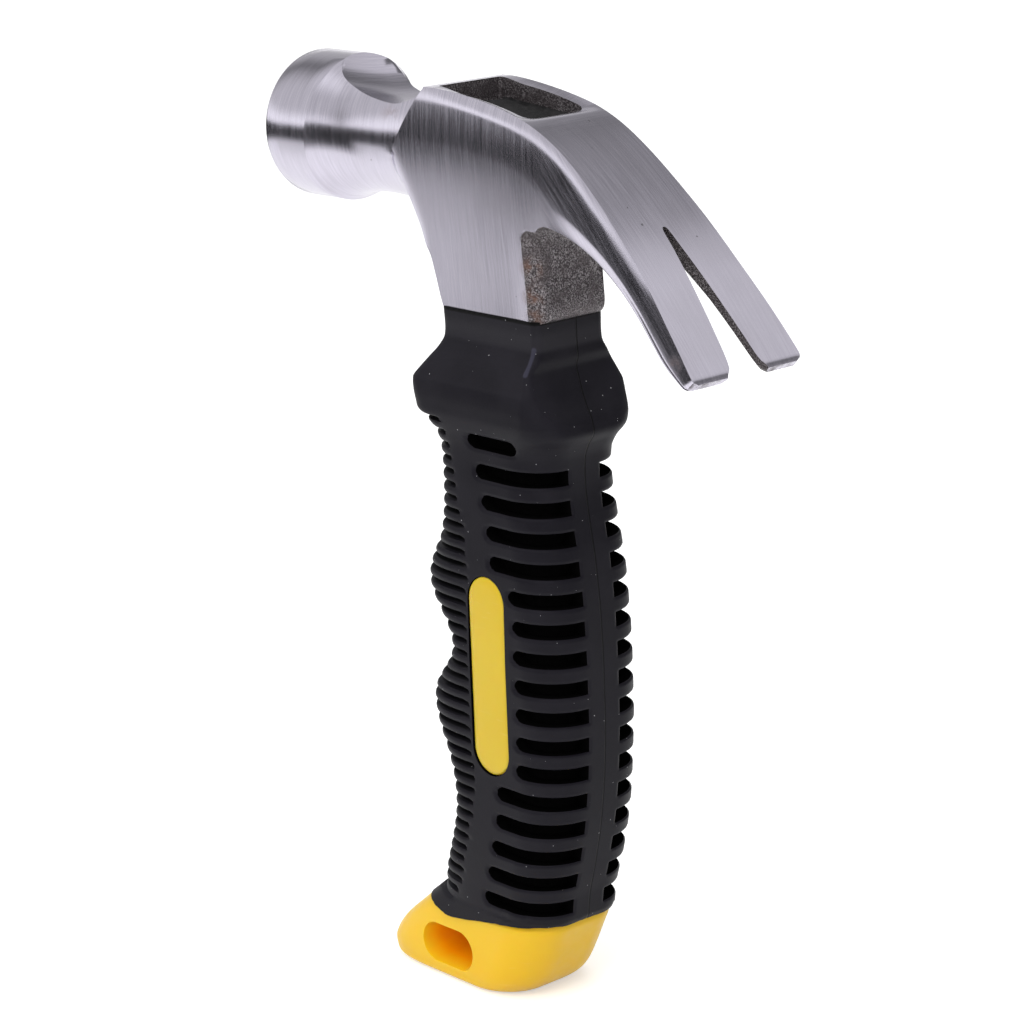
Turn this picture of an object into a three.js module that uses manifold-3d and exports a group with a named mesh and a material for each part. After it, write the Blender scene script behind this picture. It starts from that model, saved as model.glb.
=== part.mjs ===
// A stubby claw hammer: a forged head on a reinforced core, a yellow inner handle, a black rubber grip.
// Millimetres, +Z up along the handle, +X towards the claws, -X towards the striking face.
// The origin is the middle of the hammer's reach, on the lowest face of the butt.
import * as THREE from 'three';
import { mergeVertices } from 'three/addons/utils/BufferGeometryUtils.js';
import Module from 'manifold-3d';

const wasm = await Module();
wasm.setup();

// Handle
const gripLength = 99.3;        // rubber, from the butt's shoulder to the lip under the head
const buttHeight = 15.3;        // yellow butt below the rubber
const buttReach = 30;           // butt's toe, in front of the handle's axis
const buttHalfWidth = 10.2;
const gripFront = 18;           // finger side, at the top of the upper swell
const gripBack = 16.4;          // palm side
const gripHalfWidth = 11;
const stemRecess = 0.6;         // lip to the top of the inner handle's stem
const fitGap = 0.3;             // between pieces that touch
const overrun = 3;              // how far a cut runs past the face that it opens

// Grip slots and finger grooves
const slotCount = 17;
const slotPitch = 4.785;
const slotHeight = 2.5;
const slotDepth = 2;
const firstSlotDrop = 20;       // lip to the middle of the top slot
const spineHalfWidth = 3.3;     // smooth band down the palm side
const firstSlotBack = 8.3;      // the top slot is a short one
const grooveCount = 39;
const groovePitch = 2.1;
const grooveHeight = 1;
const grooveDepth = 1;
const firstGrooveDrop = 17.6;   // lip to the top groove

// Side inlays
const inlayLength = 33;
const inlayWidth = 8.4;
const inlaySeat = 9;            // back of the inlay, from the handle's middle plane
const inlayMiddleDrop = 58.2;   // lip to the middle of the inlay
const inlayOffset = 0.9;        // middle of the inlay, behind the handle's axis

// Lanyard slot
const lanyardLength = 12.2;
const lanyardHeight = 6.6;
const lanyardForward = 13.1;    // middle of the slot, in front of the handle's axis
const lanyardUp = 6.1;          // middle of the slot, above the butt's lowest face

// Head, measured from the handle's axis and from the grip's lip
const faceReach = 47.8;
const clawReach = 49.6;
const headRise = 34.4;          // lip to the front of the eye's rim
const faceRadius = 12;
const faceAxisRise = 25.1;      // lip to the axis of the striking face
const faceChamfer = 0.7;
const faceRing = 10.5;          // length of the plain ring behind the face
const neckRadius = 9;
const turnSteps = 40;           // facets round the striking face
const dishRadius = 9;           // scallop on top of the neck
const dishReach = 27.5;
const dishFloor = 6.2;          // lowest point of the scallop above the face's axis
const cheekHalfWidth = 9;       // body at the eye
const cheekFootHalfWidth = 6.8; // body at the lip
const clawHalfWidth = 11.7;     // across the claws, at their tips
const footFront = 10.4;         // body's foot, in front of the axis
const footBack = 12.3;
const archRise = 15.5;          // lip to the crown of the arch under the claws
const archBendRise = 12.4;      // lip to where the arch leaves the back of the body
const waistRise = 23;           // lip to where the cheeks reach their full width
const cheekBendRise = 10.9;
const cheekBendHalfWidth = 8.4;
const bevelRun = 2.9;           // rough bevels beside the back of the body
const bevelRise = 13.3;         // lip to the top of the bevels
const bevelFrontHalfWidth = 7.7;
const bevelBackHalfWidth = 5.6;
const notchReach = 33;          // closed end of the nail notch
const notchEndHalfWidth = 0.5;
const notchMouthHalfWidth = 3.2;
const tineCorner = 1.5;

// Eye, core rod and resin
const eyeFront = 10.2;
const eyeBack = 11.1;
const eyeHalfWidth = 6.2;
const socketFront = 8;
const socketBack = 8;
const socketHalfWidth = 4.8;
const eyeCorner = 1;
const rodLength = 13;
const rodWidth = 6.4;
const rodCorner = 2;
const rodRise = 25;             // top of the rod above the lip
const rodDrop = 88;             // foot of the rod below the lip
const resinCover = 1.6;         // resin over the end of the rod
const resinFoot = 5;            // bottom of the resin above the lip

const lip = buttHeight + gripLength;
const headFoot = lip + fitGap;
const faceAxis = lip + faceAxisRise;

// Handle sections from the butt's shoulder to the lip. Columns: height, front, back, half width, front
// run, back run, front flat, back flat. The front run is a share of the front, the last three columns of
// the half width.
const gripSectionShares = [
  [0, 0.99, 0.66, 0.92, 0.79, 0.78, 0.04, 0.33],
  [0.043, 0.87, 0.7, 0.964, 0.76, 0.76, 0.04, 0.31],
  [0.084, 0.775, 0.77, 0.99, 0.73, 0.73, 0.04, 0.3],
  [0.124, 0.705, 0.83, 1, 0.7, 0.73, 0.04, 0.3],
  [0.169, 0.67, 0.89, 1, 0.68, 0.73, 0.04, 0.3],
  [0.2145, 0.7, 0.933, 0.99, 0.7, 0.73, 0.04, 0.3],
  [0.255, 0.79, 0.963, 0.982, 0.73, 0.75, 0.04, 0.3],
  [0.295, 0.915, 0.982, 0.982, 0.77, 0.75, 0.04, 0.3],
  [0.33, 0.975, 0.994, 0.982, 0.78, 0.74, 0.04, 0.3],
  [0.36, 0.96, 1, 0.982, 0.78, 0.74, 0.04, 0.3],
  [0.391, 0.83, 1, 0.982, 0.75, 0.74, 0.04, 0.3],
  [0.421, 0.68, 1, 0.982, 0.69, 0.74, 0.04, 0.3],
  [0.446, 0.625, 1, 0.982, 0.66, 0.74, 0.04, 0.3],
  [0.471, 0.685, 0.997, 0.977, 0.69, 0.75, 0.04, 0.31],
  [0.4965, 0.81, 0.991, 0.973, 0.74, 0.74, 0.04, 0.31],
  [0.527, 0.955, 0.982, 0.968, 0.78, 0.76, 0.04, 0.31],
  [0.557, 0.985, 0.97, 0.964, 0.79, 0.75, 0.04, 0.31],
  [0.592, 0.9, 0.948, 0.955, 0.77, 0.75, 0.04, 0.32],
  [0.622, 0.79, 0.927, 0.941, 0.73, 0.78, 0.04, 0.32],
  [0.668, 0.73, 0.878, 0.923, 0.71, 0.78, 0.04, 0.33],
  [0.728, 0.725, 0.829, 0.895, 0.7, 0.8, 0.04, 0.34],
  [0.778, 0.75, 0.835, 0.882, 0.68, 0.79, 0.05, 0.34],
  [0.8, 0.775, 0.89, 0.905, 0.6, 0.73, 0.15, 0.36],
  [0.819, 0.81, 0.965, 0.955, 0.5, 0.6, 0.3, 0.42],
  [0.839, 0.85, 0.935, 0.985, 0.36, 0.48, 0.42, 0.5],
  [0.864, 0.87, 0.8, 0.985, 0.28, 0.34, 0.6, 0.62],
  [0.889, 0.835, 0.72, 0.936, 0.2, 0.25, 0.72, 0.74],
  [0.919, 0.7, 0.655, 0.815, 0.17, 0.2, 0.78, 0.8],
  [0.935, 0.635, 0.646, 0.72, 0.16, 0.21, 0.8, 0.8],
  [0.954, 0.585, 0.645, 0.64, 0.15, 0.21, 0.8, 0.8],
  [1, 0.58, 0.64, 0.64, 0.15, 0.21, 0.8, 0.8],
];

// Stem of the inner handle inside the rubber, clear of the grooves and slots, in the same columns.
const stemSectionShares = [
  [0, 0.62, 0.48, 0.7, 0.5, 0.51, 0.2, 0.3],
  [0.124, 0.5, 0.66, 0.74, 0.5, 0.66, 0.2, 0.3],
  [0.446, 0.46, 0.8, 0.74, 0.5, 0.81, 0.2, 0.3],
  [0.778, 0.5, 0.65, 0.64, 0.5, 0.76, 0.2, 0.3],
  [0.935, 0.44, 0.49, 0.43, 0.3, 0.51, 0.5, 0.5],
  [1, 0.44, 0.49, 0.43, 0.3, 0.51, 0.5, 0.5],
];

// Butt sections from its lowest face to its shoulder, in the same columns. Heights are shares of the
// butt's height, fronts of its toe's reach, backs of gripBack and half widths of buttHalfWidth.
const buttSectionShares = [
  [0, 0.913, 0.06, 0.745, 0.38, 1.12, 0.4, 0.1],
  [0.04, 0.975, 0.134, 0.93, 0.39, 1, 0.4, 0.1],
  [0.133, 1, 0.27, 0.98, 0.4, 1, 0.4, 0.1],
  [0.253, 0.997, 0.36, 1, 0.4, 0.98, 0.36, 0.12],
  [0.467, 0.923, 0.45, 1, 0.43, 0.98, 0.3, 0.15],
  [0.733, 0.773, 0.537, 0.995, 0.54, 0.94, 0.2, 0.25],
  [1, 0.617, 0.646, 0.99, 0.79, 0.85, 0.04, 0.33],
];

// Head outline from the side, as shares of clawReach along X and of headRise along Z.
const crownShares = [
  [-0.232, 1], [-0.08, 0.997], [0.06, 0.957], [0.244, 0.898], [0.393, 0.788], [0.538, 0.622],
  [0.716, 0.381], [0.877, 0.113], [1, -0.102],
];
const underClawShares = [
  [0.962, -0.132], [0.899, -0.084], [0.792, 0.055], [0.712, 0.177], [0.599, 0.302],
  [0.478, 0.375], [0.351, 0.435],
];
const breastShares = [
  [-0.24, 0.17], [-0.275, 0.31], [-0.34, 0.5], [-0.387, 0.64], [-0.379, 0.73], [-0.304, 0.885],
];

// Claws from above: reach as a share of clawReach, half width as a share of clawHalfWidth.
const clawPlanShares = [
  [-0.5, 0.77], [0.25, 0.78], [0.45, 0.82], [0.6, 0.845], [0.78, 0.872], [0.89, 0.925], [1, 0.985],
];

// Radius of the neck between the ring and the body, and where, as shares of what is left.
const neckShares = [[0.09, 0.8], [0.22, 0.42], [0.36, 0.16], [0.52, 0.04], [0.75, 0]];

// Inner ends of the finger grooves: height as a share of gripLength, reach as a share of gripHalfWidth.
const grooveEndShares = [
  [0, 0.95], [0.12, 0.62], [0.24, 0.34], [0.3, 0.42], [0.5, 0.47], [0.57, 0.35], [0.7, 0.56], [0.83, 0.95],
];

// Front ends of the slots from the top one down, as shares of gripHalfWidth behind the handle's axis.
const slotEndShares = [
  -0.27, -0.14, -0.01, 0.09, 0.15, 0.6, 0.62, 0.62, 0.63, 0.63, 0.62, 0.6, 0.16, 0.11, 0.01, -0.1, -0.25,
];

// Solids and meshes

function solid(geometry) {
  const bare = geometry.clone();
  bare.deleteAttribute('normal');
  bare.deleteAttribute('uv');
  const merged = mergeVertices(bare);
  return new wasm.Manifold(new wasm.Mesh({
    numProp: 3,
    vertProperties: merged.attributes.position.array,
    triVerts: Uint32Array.from(merged.index.array),
  }));
}

function geometryOf(shape) {
  const mesh = shape.getMesh();
  const geometry = new THREE.BufferGeometry();
  geometry.setAttribute('position', new THREE.BufferAttribute(mesh.vertProperties.slice(), 3));
  geometry.setIndex(new THREE.BufferAttribute(mesh.triVerts.slice(), 1));
  geometry.computeVertexNormals();
  return geometry;
}

const add = (...shapes) => shapes.reduce((a, b) => a.add(b));
const cut = (shape, ...tools) => tools.reduce((a, b) => a.subtract(b), shape);

const curveSteps = 4;
const cheekSteps = 6;
const outlineSteps = 2;         // between the given points of an outline
const pillSteps = 8;

// A flat shape swept between two heights.
function alongZ(shape, from, to, curveSegments = curveSteps) {
  const geometry = new THREE.ExtrudeGeometry(shape, { depth: to - from, bevelEnabled: false, curveSegments });
  return solid(geometry.translate(0, 0, from));
}

// A shape drawn in X and Z, swept along Y.
function alongY(shape, from, to, curveSegments = curveSteps) {
  const geometry = new THREE.ExtrudeGeometry(shape, { depth: to - from, bevelEnabled: false, curveSegments });
  return solid(geometry.rotateX(Math.PI / 2).translate(0, to, 0));
}

// Rings of points joined into one closed skin, from the lowest ring to the highest.
function loft(rings) {
  const count = rings[0].length;
  const points = rings.flat();
  const faces = [];
  for (let ring = 0; ring < rings.length - 1; ring += 1) {
    for (let i = 0; i < count; i += 1) {
      const a = ring * count + i;
      const b = ring * count + ((i + 1) % count);
      faces.push(a, b, b + count, a, b + count, a + count);
    }
  }
  const middle = (ring) => ring.reduce((sum, p) => sum.add(p), new THREE.Vector3()).divideScalar(count);
  const foot = points.push(middle(rings[0])) - 1;
  const top = points.push(middle(rings.at(-1))) - 1;
  const last = (rings.length - 1) * count;
  for (let i = 0; i < count; i += 1) {
    const next = (i + 1) % count;
    faces.push(foot, next, i);
    faces.push(top, last + i, last + next);
  }
  const geometry = new THREE.BufferGeometry().setFromPoints(points);
  geometry.setIndex(faces);
  return solid(geometry);
}

function roundedRectangle(front, back, halfWidth, corner) {
  const shape = new THREE.Shape();
  shape.moveTo(-front + corner, -halfWidth);
  shape.lineTo(back - corner, -halfWidth);
  shape.absarc(back - corner, -halfWidth + corner, corner, -Math.PI / 2, 0);
  shape.absarc(back - corner, halfWidth - corner, corner, 0, Math.PI / 2);
  shape.absarc(-front + corner, halfWidth - corner, corner, Math.PI / 2, Math.PI);
  shape.absarc(-front + corner, -halfWidth + corner, corner, Math.PI, Math.PI * 1.5);
  return shape;
}

// An upright or lying slot with two round ends, drawn in X and Z.
function stadium(length, width, upright) {
  const shape = new THREE.Shape();
  const radius = width / 2;
  const run = length / 2 - radius;
  const turn = upright ? 0 : -Math.PI / 2;
  const end = (sign) => (upright ? [0, sign * run] : [sign * run, 0]);
  shape.absarc(...end(1), radius, turn, turn + Math.PI);
  shape.absarc(...end(-1), radius, turn + Math.PI, turn + Math.PI * 2);
  return shape;
}

const moved = (shape, x, z) => shape.translate([x, 0, z]);

// Handle sections

const frontSteps = 3;
const backSteps = 4;
const frontRoundness = 3;
const backRoundness = 2;

function sectionRing(section) {
  const { height, front, back, half, frontRun, backRun, frontFlat, backFlat } = section;
  const backCorner = { x: back - backRun, runX: backRun, power: backRoundness, steps: backSteps };
  const frontCorner = { x: -front + frontRun, runX: -frontRun, power: frontRoundness, steps: frontSteps };
  const corners = [
    { ...backCorner, y: backFlat, runY: half - backFlat, from: 0 },
    { ...frontCorner, y: frontFlat, runY: half - frontFlat, from: 1 },
    { ...frontCorner, y: -frontFlat, runY: frontFlat - half, from: 0 },
    { ...backCorner, y: -backFlat, runY: backFlat - half, from: 1 },
  ];
  return corners.flatMap(({ x, y, runX, runY, power, from, steps }) => (
    Array.from({ length: steps + 1 }, (_, step) => {
      const angle = Math.abs(from - step / steps) * Math.PI / 2;
      const across = Math.max(Math.cos(angle), 0) ** (2 / power);
      const along = Math.max(Math.sin(angle), 0) ** (2 / power);
      return new THREE.Vector3(x + runX * across, y + runY * along, height);
    })));
}

function sectionFrom(shares, foot, height, front, back, half) {
  const [up, frontShare, backShare, halfShare, frontRun, backRun, frontFlat, backFlat] = shares;
  return {
    height: foot + up * height,
    front: front * frontShare,
    back: back * backShare,
    half: half * halfShare,
    frontRun: front * frontShare * frontRun,
    backRun: half * halfShare * backRun,
    frontFlat: half * halfShare * frontFlat,
    backFlat: half * halfShare * backFlat,
  };
}

// The same section drawn in by a wall; its corners keep at least a tenth of their run.
function drawnIn(section, wall) {
  const half = section.half - wall;
  const least = 0.1;
  return {
    height: section.height,
    front: section.front - wall,
    back: section.back - wall,
    half,
    frontRun: Math.max(section.frontRun - wall, section.frontRun * least),
    backRun: Math.max(section.backRun - wall, section.backRun * least),
    frontFlat: Math.min(section.frontFlat, half * (1 - least)),
    backFlat: Math.min(section.backFlat, half * (1 - least)),
  };
}

const gripSections = gripSectionShares.map((row) => (
  sectionFrom(row, buttHeight, gripLength, gripFront, gripBack, gripHalfWidth)));
const buttSections = buttSectionShares.map((row) => (
  sectionFrom(row, 0, buttHeight - fitGap, buttReach, gripBack, buttHalfWidth)));
const stemSections = stemSectionShares.map((row) => (
  sectionFrom(row, buttHeight, gripLength, gripFront, gripBack, gripHalfWidth)));

// Sections drawn in by a wall, run past the grip's foot and to the given top.
function core(sections, wall, top = lip + overrun) {
  const inner = sections.map((section) => drawnIn(section, wall));
  inner.unshift({ ...inner[0], height: buttHeight - overrun });
  inner.push({ ...inner.pop(), height: top });
  return loft(inner.map(sectionRing));
}

const skin = loft(gripSections.map(sectionRing));

function shareAt(table, place) {
  const after = table.findIndex(([at]) => at >= place);
  if (after <= 0) return table.at(after)[1];
  const [from, low] = table[after - 1];
  const [to, high] = table[after];
  return THREE.MathUtils.mapLinear(place, from, to, low, high);
}

// Core rod: a straight bar with rounded edges, from the butt up into the eye

const rodTop = lip + rodRise;
const rodFoot = lip - rodDrop;

function rodSolid(gap) {
  const reach = rodLength / 2 + gap;
  const outline = roundedRectangle(reach, reach, rodWidth / 2 + gap, rodCorner + gap);
  return alongZ(outline, rodFoot - gap, rodTop + gap);
}

// Head: body and claws, neck and striking face, eye and nail notch

function eyeSolid(gap) {
  const ring = (front, back, half, height) => {
    const outline = roundedRectangle(front - gap, back - gap, half - gap, eyeCorner);
    return outline.getPoints(curveSteps).slice(0, -1).map((p) => new THREE.Vector3(p.x, p.y, height));
  };
  const top = lip + headRise;
  const taper = (wide, narrow) => wide + (wide - narrow) * overrun / headRise;
  return loft([
    ring(taper(socketFront, eyeFront), taper(socketBack, eyeBack), taper(socketHalfWidth, eyeHalfWidth),
      lip - overrun),
    ring(taper(eyeFront, socketFront), taper(eyeBack, socketBack), taper(eyeHalfWidth, socketHalfWidth),
      top + overrun),
  ]);
}

function sideOutline() {
  const at = ([x, z]) => new THREE.Vector2(x * clawReach, lip + z * headRise);
  const shape = new THREE.Shape();
  shape.moveTo(crownShares[0][0] * clawReach, lip + headRise);
  shape.splineThru(crownShares.slice(1).map(at));
  shape.lineTo(underClawShares[0][0] * clawReach, lip + underClawShares[0][1] * headRise);
  shape.splineThru(underClawShares.slice(1).map(at));
  shape.quadraticCurveTo(footBack, lip + archRise, footBack, lip + archBendRise);
  shape.lineTo(footBack, headFoot);
  shape.lineTo(-footFront, headFoot);
  shape.splineThru(breastShares.map(at));
  return shape;
}

function planOutline() {
  const at = (sign) => ([x, y]) => new THREE.Vector2(x * clawReach, sign * y * clawHalfWidth);
  const tip = clawReach + overrun;
  const wide = clawHalfWidth * clawPlanShares.at(-1)[1];
  const shape = new THREE.Shape();
  shape.moveTo(clawPlanShares[0][0] * clawReach, -clawPlanShares[0][1] * clawHalfWidth);
  shape.splineThru(clawPlanShares.slice(1).map(at(-1)));
  shape.lineTo(tip, -wide);
  shape.lineTo(tip, wide);
  shape.lineTo(clawReach, wide);
  shape.splineThru(clawPlanShares.slice(0, -1).reverse().map(at(1)));
  return shape;
}

// What is taken off each side of the body, so that its cheeks draw in from the eye to the foot.
function cheekCut(side) {
  const outside = clawHalfWidth + overrun;
  const waist = lip + waistRise;
  const shape = new THREE.Shape();
  shape.moveTo(side * cheekFootHalfWidth, lip);
  shape.quadraticCurveTo(side * cheekBendHalfWidth, lip + cheekBendRise, side * cheekHalfWidth, waist);
  shape.lineTo(side * outside, waist);
  shape.lineTo(side * outside, lip - overrun);
  shape.lineTo(side * cheekFootHalfWidth, lip - overrun);
  const depth = faceReach + footBack;
  const settings = { depth, bevelEnabled: false, curveSegments: cheekSteps };
  const geometry = new THREE.ExtrudeGeometry(shape, settings);
  return solid(geometry.rotateX(Math.PI / 2).rotateZ(Math.PI / 2).translate(-faceReach, 0, 0));
}

// The rough bevel between a cheek and the back of the body.
function bevelCut(side) {
  const outside = clawHalfWidth + overrun;
  const narrowing = bevelFrontHalfWidth - bevelBackHalfWidth;
  const shape = new THREE.Shape();
  shape.moveTo(footBack - bevelRun, side * bevelFrontHalfWidth);
  shape.lineTo(footBack + bevelRun, side * (bevelBackHalfWidth - narrowing));
  shape.lineTo(footBack + bevelRun, side * outside);
  shape.lineTo(footBack - bevelRun, side * outside);
  return alongZ(shape, lip - overrun, lip + bevelRise);
}

function notchCut() {
  const shape = new THREE.Shape();
  const reach = clawReach + overrun;
  const run = clawReach - notchReach;
  const wide = notchEndHalfWidth + (notchMouthHalfWidth - notchEndHalfWidth) * (reach - notchReach) / run;
  shape.absarc(notchReach + notchEndHalfWidth, 0, notchEndHalfWidth, Math.PI / 2, Math.PI * 1.5);
  shape.lineTo(reach, -wide);
  shape.lineTo(reach, wide);
  return alongZ(shape, lip - headRise, lip + headRise);
}

// Takes the corner off the end of a tine: what is left of a square after a quarter round.
function tineCut(y, side) {
  const shape = new THREE.Shape();
  shape.moveTo(clawReach - tineCorner, y);
  shape.absarc(clawReach - tineCorner, y - side * tineCorner, tineCorner, side * Math.PI / 2, 0, side > 0);
  shape.lineTo(clawReach + overrun, y - side * tineCorner);
  shape.lineTo(clawReach + overrun, y + side * overrun);
  shape.lineTo(clawReach - tineCorner, y + side * overrun);
  return alongZ(shape, lip - headRise, lip + headRise);
}

function pollSolid() {
  const end = faceReach - footFront;
  const reach = end - faceRing;
  const profile = [
    [0, 0], [faceRadius - faceChamfer, 0], [faceRadius, faceChamfer], [faceRadius, faceRing],
    ...neckShares.map(([at, wide]) => [neckRadius + (faceRadius - neckRadius) * wide, faceRing + reach * at]),
    [neckRadius, end], [0, end],
  ].map(([radius, back]) => new THREE.Vector2(radius, back));
  const geometry = new THREE.LatheGeometry(profile, turnSteps);
  const poll = solid(geometry.rotateZ(-Math.PI / 2).translate(-faceReach, 0, faceAxis));
  const dish = new THREE.CylinderGeometry(dishRadius, dishRadius, faceRadius * 2 + overrun, turnSteps);
  return cut(poll, solid(dish.translate(-dishReach, 0, faceAxis + dishFloor + dishRadius)));
}

function headSolid() {
  const side = alongY(sideOutline(), -clawHalfWidth - overrun, clawHalfWidth + overrun, outlineSteps);
  const plan = alongZ(planOutline(), lip - headRise, lip + headRise + overrun, outlineSteps);
  const tipHalfWidth = clawHalfWidth * clawPlanShares.at(-1)[1];
  const sides = [1, -1];
  const claws = cut(
    side.intersect(plan),
    notchCut(),
    ...sides.map((hand) => cheekCut(hand)),
    ...sides.map((hand) => bevelCut(hand)),
    ...sides.map((hand) => tineCut(hand * tipHalfWidth, hand)),
    ...sides.map((hand) => tineCut(hand * notchMouthHalfWidth, -hand)),
  );
  return cut(add(claws, pollSolid()), eyeSolid(0));
}

// Resin: poured into the eye around the rod, a little below the rim

function resinSolid() {
  const block = roundedRectangle(faceReach, clawReach, clawHalfWidth, eyeCorner);
  const fill = alongZ(block, lip + resinFoot, rodTop + resinCover);
  return cut(eyeSolid(fitGap).intersect(fill), rodSolid(fitGap));
}

// Inlays: a pill of yellow plastic in each side of the grip, flush with the rubber

const inlayMiddle = lip - inlayMiddleDrop;

function inlaySolid(side, gap) {
  const outline = stadium(inlayLength + gap * 2, inlayWidth + gap * 2, true);
  const seat = inlaySeat - gap;
  const outside = gripHalfWidth + overrun;
  const pill = side > 0
    ? alongY(outline, seat, outside, pillSteps)
    : alongY(outline, -outside, -seat, pillSteps);
  return moved(pill, inlayOffset, inlayMiddle);
}

// Grip: the rubber sleeve, its slots, finger grooves and inlay pockets

function slotCut(index, side) {
  const middle = lip - firstSlotDrop - index * slotPitch;
  const front = slotEndShares[index % slotEndShares.length] * gripHalfWidth;
  const back = index === 0 ? firstSlotBack : gripBack + overrun;
  const radius = slotHeight / 2;
  const shape = new THREE.Shape();
  shape.absarc(front + radius, middle, radius, Math.PI / 2, Math.PI * 1.5);
  shape.lineTo(back, middle - radius);
  shape.lineTo(back, middle + radius);
  const outside = gripHalfWidth + overrun;
  return side > 0
    ? alongY(shape, spineHalfWidth, outside, outlineSteps)
    : alongY(shape, -outside, -spineHalfWidth, outlineSteps);
}

function grooveCut(index) {
  const middle = lip - firstGrooveDrop - index * groovePitch;
  const reach = shareAt(grooveEndShares, (middle - buttHeight) / gripLength) * gripHalfWidth;
  const width = (gripHalfWidth + overrun) * 2;
  const box = new THREE.BoxGeometry(gripFront + overrun - reach, width, grooveHeight);
  return solid(box.translate(-(gripFront + overrun + reach) / 2, 0, middle));
}

function gripSolid() {
  const slots = Array.from({ length: slotCount }, (_, i) => [slotCut(i, 1), slotCut(i, -1)]).flat();
  const grooves = Array.from({ length: grooveCount }, (_, i) => grooveCut(i));
  const slotTools = cut(add(...slots), core(gripSections, slotDepth));
  const grooveTools = cut(add(...grooves), core(gripSections, grooveDepth));
  const pockets = [1, -1].map((side) => inlaySolid(side, fitGap));
  return cut(skin, slotTools, grooveTools, core(stemSections, 0), ...pockets);
}

// Inner handle: a hard yellow stem inside the rubber, and the butt that shows below it

function innerHandleSolid() {
  const stem = core(stemSections, fitGap, lip - stemRecess);
  const butt = loft(buttSections.map(sectionRing));
  const lanyard = alongY(stadium(lanyardLength, lanyardHeight, false), -gripHalfWidth - overrun,
    gripHalfWidth + overrun, pillSteps);
  return cut(add(stem, butt), rodSolid(fitGap), moved(lanyard, -lanyardForward, lanyardUp));
}

// Assembly

const hammer = new THREE.Group();

function piece(name, shape, color, roughness, metalness) {
  const material = new THREE.MeshStandardMaterial({ color, roughness, metalness });
  const mesh = new THREE.Mesh(geometryOf(shape), material);
  mesh.name = name;
  hammer.add(mesh);
}

piece('head', headSolid(), 0xb4b3b8, 0.35, 1);
piece('eye_resin', resinSolid(), 0x1d1c1e, 0.7, 0);
piece('core_rod', rodSolid(0), 0xcfcaa8, 0.6, 0);
piece('inner_handle', innerHandleSolid(), 0xf0b832, 0.3, 0);
piece('grip', gripSolid(), 0x2a2a2f, 0.55, 0);
piece('side_inlay_right', inlaySolid(1, 0).intersect(skin), 0xe2c346, 0.35, 0);
piece('side_inlay_left', inlaySolid(-1, 0).intersect(skin), 0xe2c346, 0.35, 0);

hammer.position.x = (faceReach - clawReach) / 2;

export default hammer;
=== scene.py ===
# %% [markdown]
# # A small claw hammer
# The CAD model gives the frame. Each step below replaces one plain CAD solid with a piece that has
# the real one's form and finish. Sizes are in millimetres about the eye's axis at the grip's top.

# %% Load the frame
import math
import bmesh
import bpy
from mathutils import Matrix, Vector, noise


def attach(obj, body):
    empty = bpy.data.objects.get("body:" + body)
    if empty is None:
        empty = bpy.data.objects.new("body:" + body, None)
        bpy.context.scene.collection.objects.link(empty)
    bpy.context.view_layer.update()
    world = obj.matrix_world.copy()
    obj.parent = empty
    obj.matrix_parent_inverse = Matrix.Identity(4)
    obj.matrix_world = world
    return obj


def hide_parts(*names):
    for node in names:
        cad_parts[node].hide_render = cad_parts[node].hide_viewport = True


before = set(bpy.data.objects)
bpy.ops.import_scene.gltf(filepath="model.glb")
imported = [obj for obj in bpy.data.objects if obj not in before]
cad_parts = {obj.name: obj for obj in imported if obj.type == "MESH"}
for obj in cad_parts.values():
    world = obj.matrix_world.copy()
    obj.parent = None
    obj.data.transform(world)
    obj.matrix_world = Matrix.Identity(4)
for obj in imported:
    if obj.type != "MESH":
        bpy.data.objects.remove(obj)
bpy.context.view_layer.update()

bpy.ops.object.select_all(action="DESELECT")
EYE_X = -0.9
LIP_TOP = 114.6


def at(x, y, z):
    """A place in metres in the frame, from millimetres about the grip's top."""
    return Vector((x + EYE_X, y, z + LIP_TOP)) / 1000


def millimetres(point):
    """The opposite of at()."""
    return point.x * 1000 - EYE_X, point.y * 1000, point.z * 1000 - LIP_TOP


def direction(azimuth, elevation):
    """The unit vector that points that way, from degrees."""
    a, e = math.radians(azimuth), math.radians(elevation)
    return Vector((math.cos(a) * math.cos(e), math.sin(a) * math.cos(e), math.sin(e)))


print("nodes:", sorted(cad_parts))

# %% [markdown]
# ## The camera
# The photograph looks down a little on the claw side. The place and turn were found by matching
# corners of the CAD model to the same corners in the photograph.

# %% Camera
AZIMUTH, ELEVATION, ROLL = 48.68858, 15.28484, math.radians(-2.23408)
DISTANCE = 500.5738
AIM = (1.38544, 32.16757)
back, right = direction(AZIMUTH - 90, ELEVATION), direction(AZIMUTH, 0)
up = back.cross(right)
rolled_right = right * math.cos(ROLL) + up * math.sin(ROLL)
rolled_up = up * math.cos(ROLL) - right * math.sin(ROLL)
lens = bpy.data.cameras.new("camera")
lens.lens = 112.5
lens.clip_start = 0.01
camera = bpy.data.objects.new("camera", lens)
bpy.context.scene.collection.objects.link(camera)
eye_point = back * DISTANCE - rolled_right * AIM[0] - rolled_up * AIM[1]
turn = Matrix((rolled_right, rolled_up, back)).transposed()
camera.matrix_world = Matrix.Translation(at(*eye_point)) @ turn.to_4x4()
bpy.context.scene.camera = camera
bpy.context.scene.view_settings.view_transform = "Standard"
print("camera at", [round(v, 4) for v in camera.location])

# %% [markdown]
# ## Helpers for node materials
# Each finish is a tree of shader nodes. Short helpers add them, so it reads as a list of steps.

# %% Adding shader nodes
def feed(tree, node, inputs):
    """Each input is either joined to a socket or set to a value."""
    for socket, value in inputs.items():
        if isinstance(value, bpy.types.NodeSocket):
            tree.links.new(value, node.inputs[socket])
        else:
            node.inputs[socket].default_value = value


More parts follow.
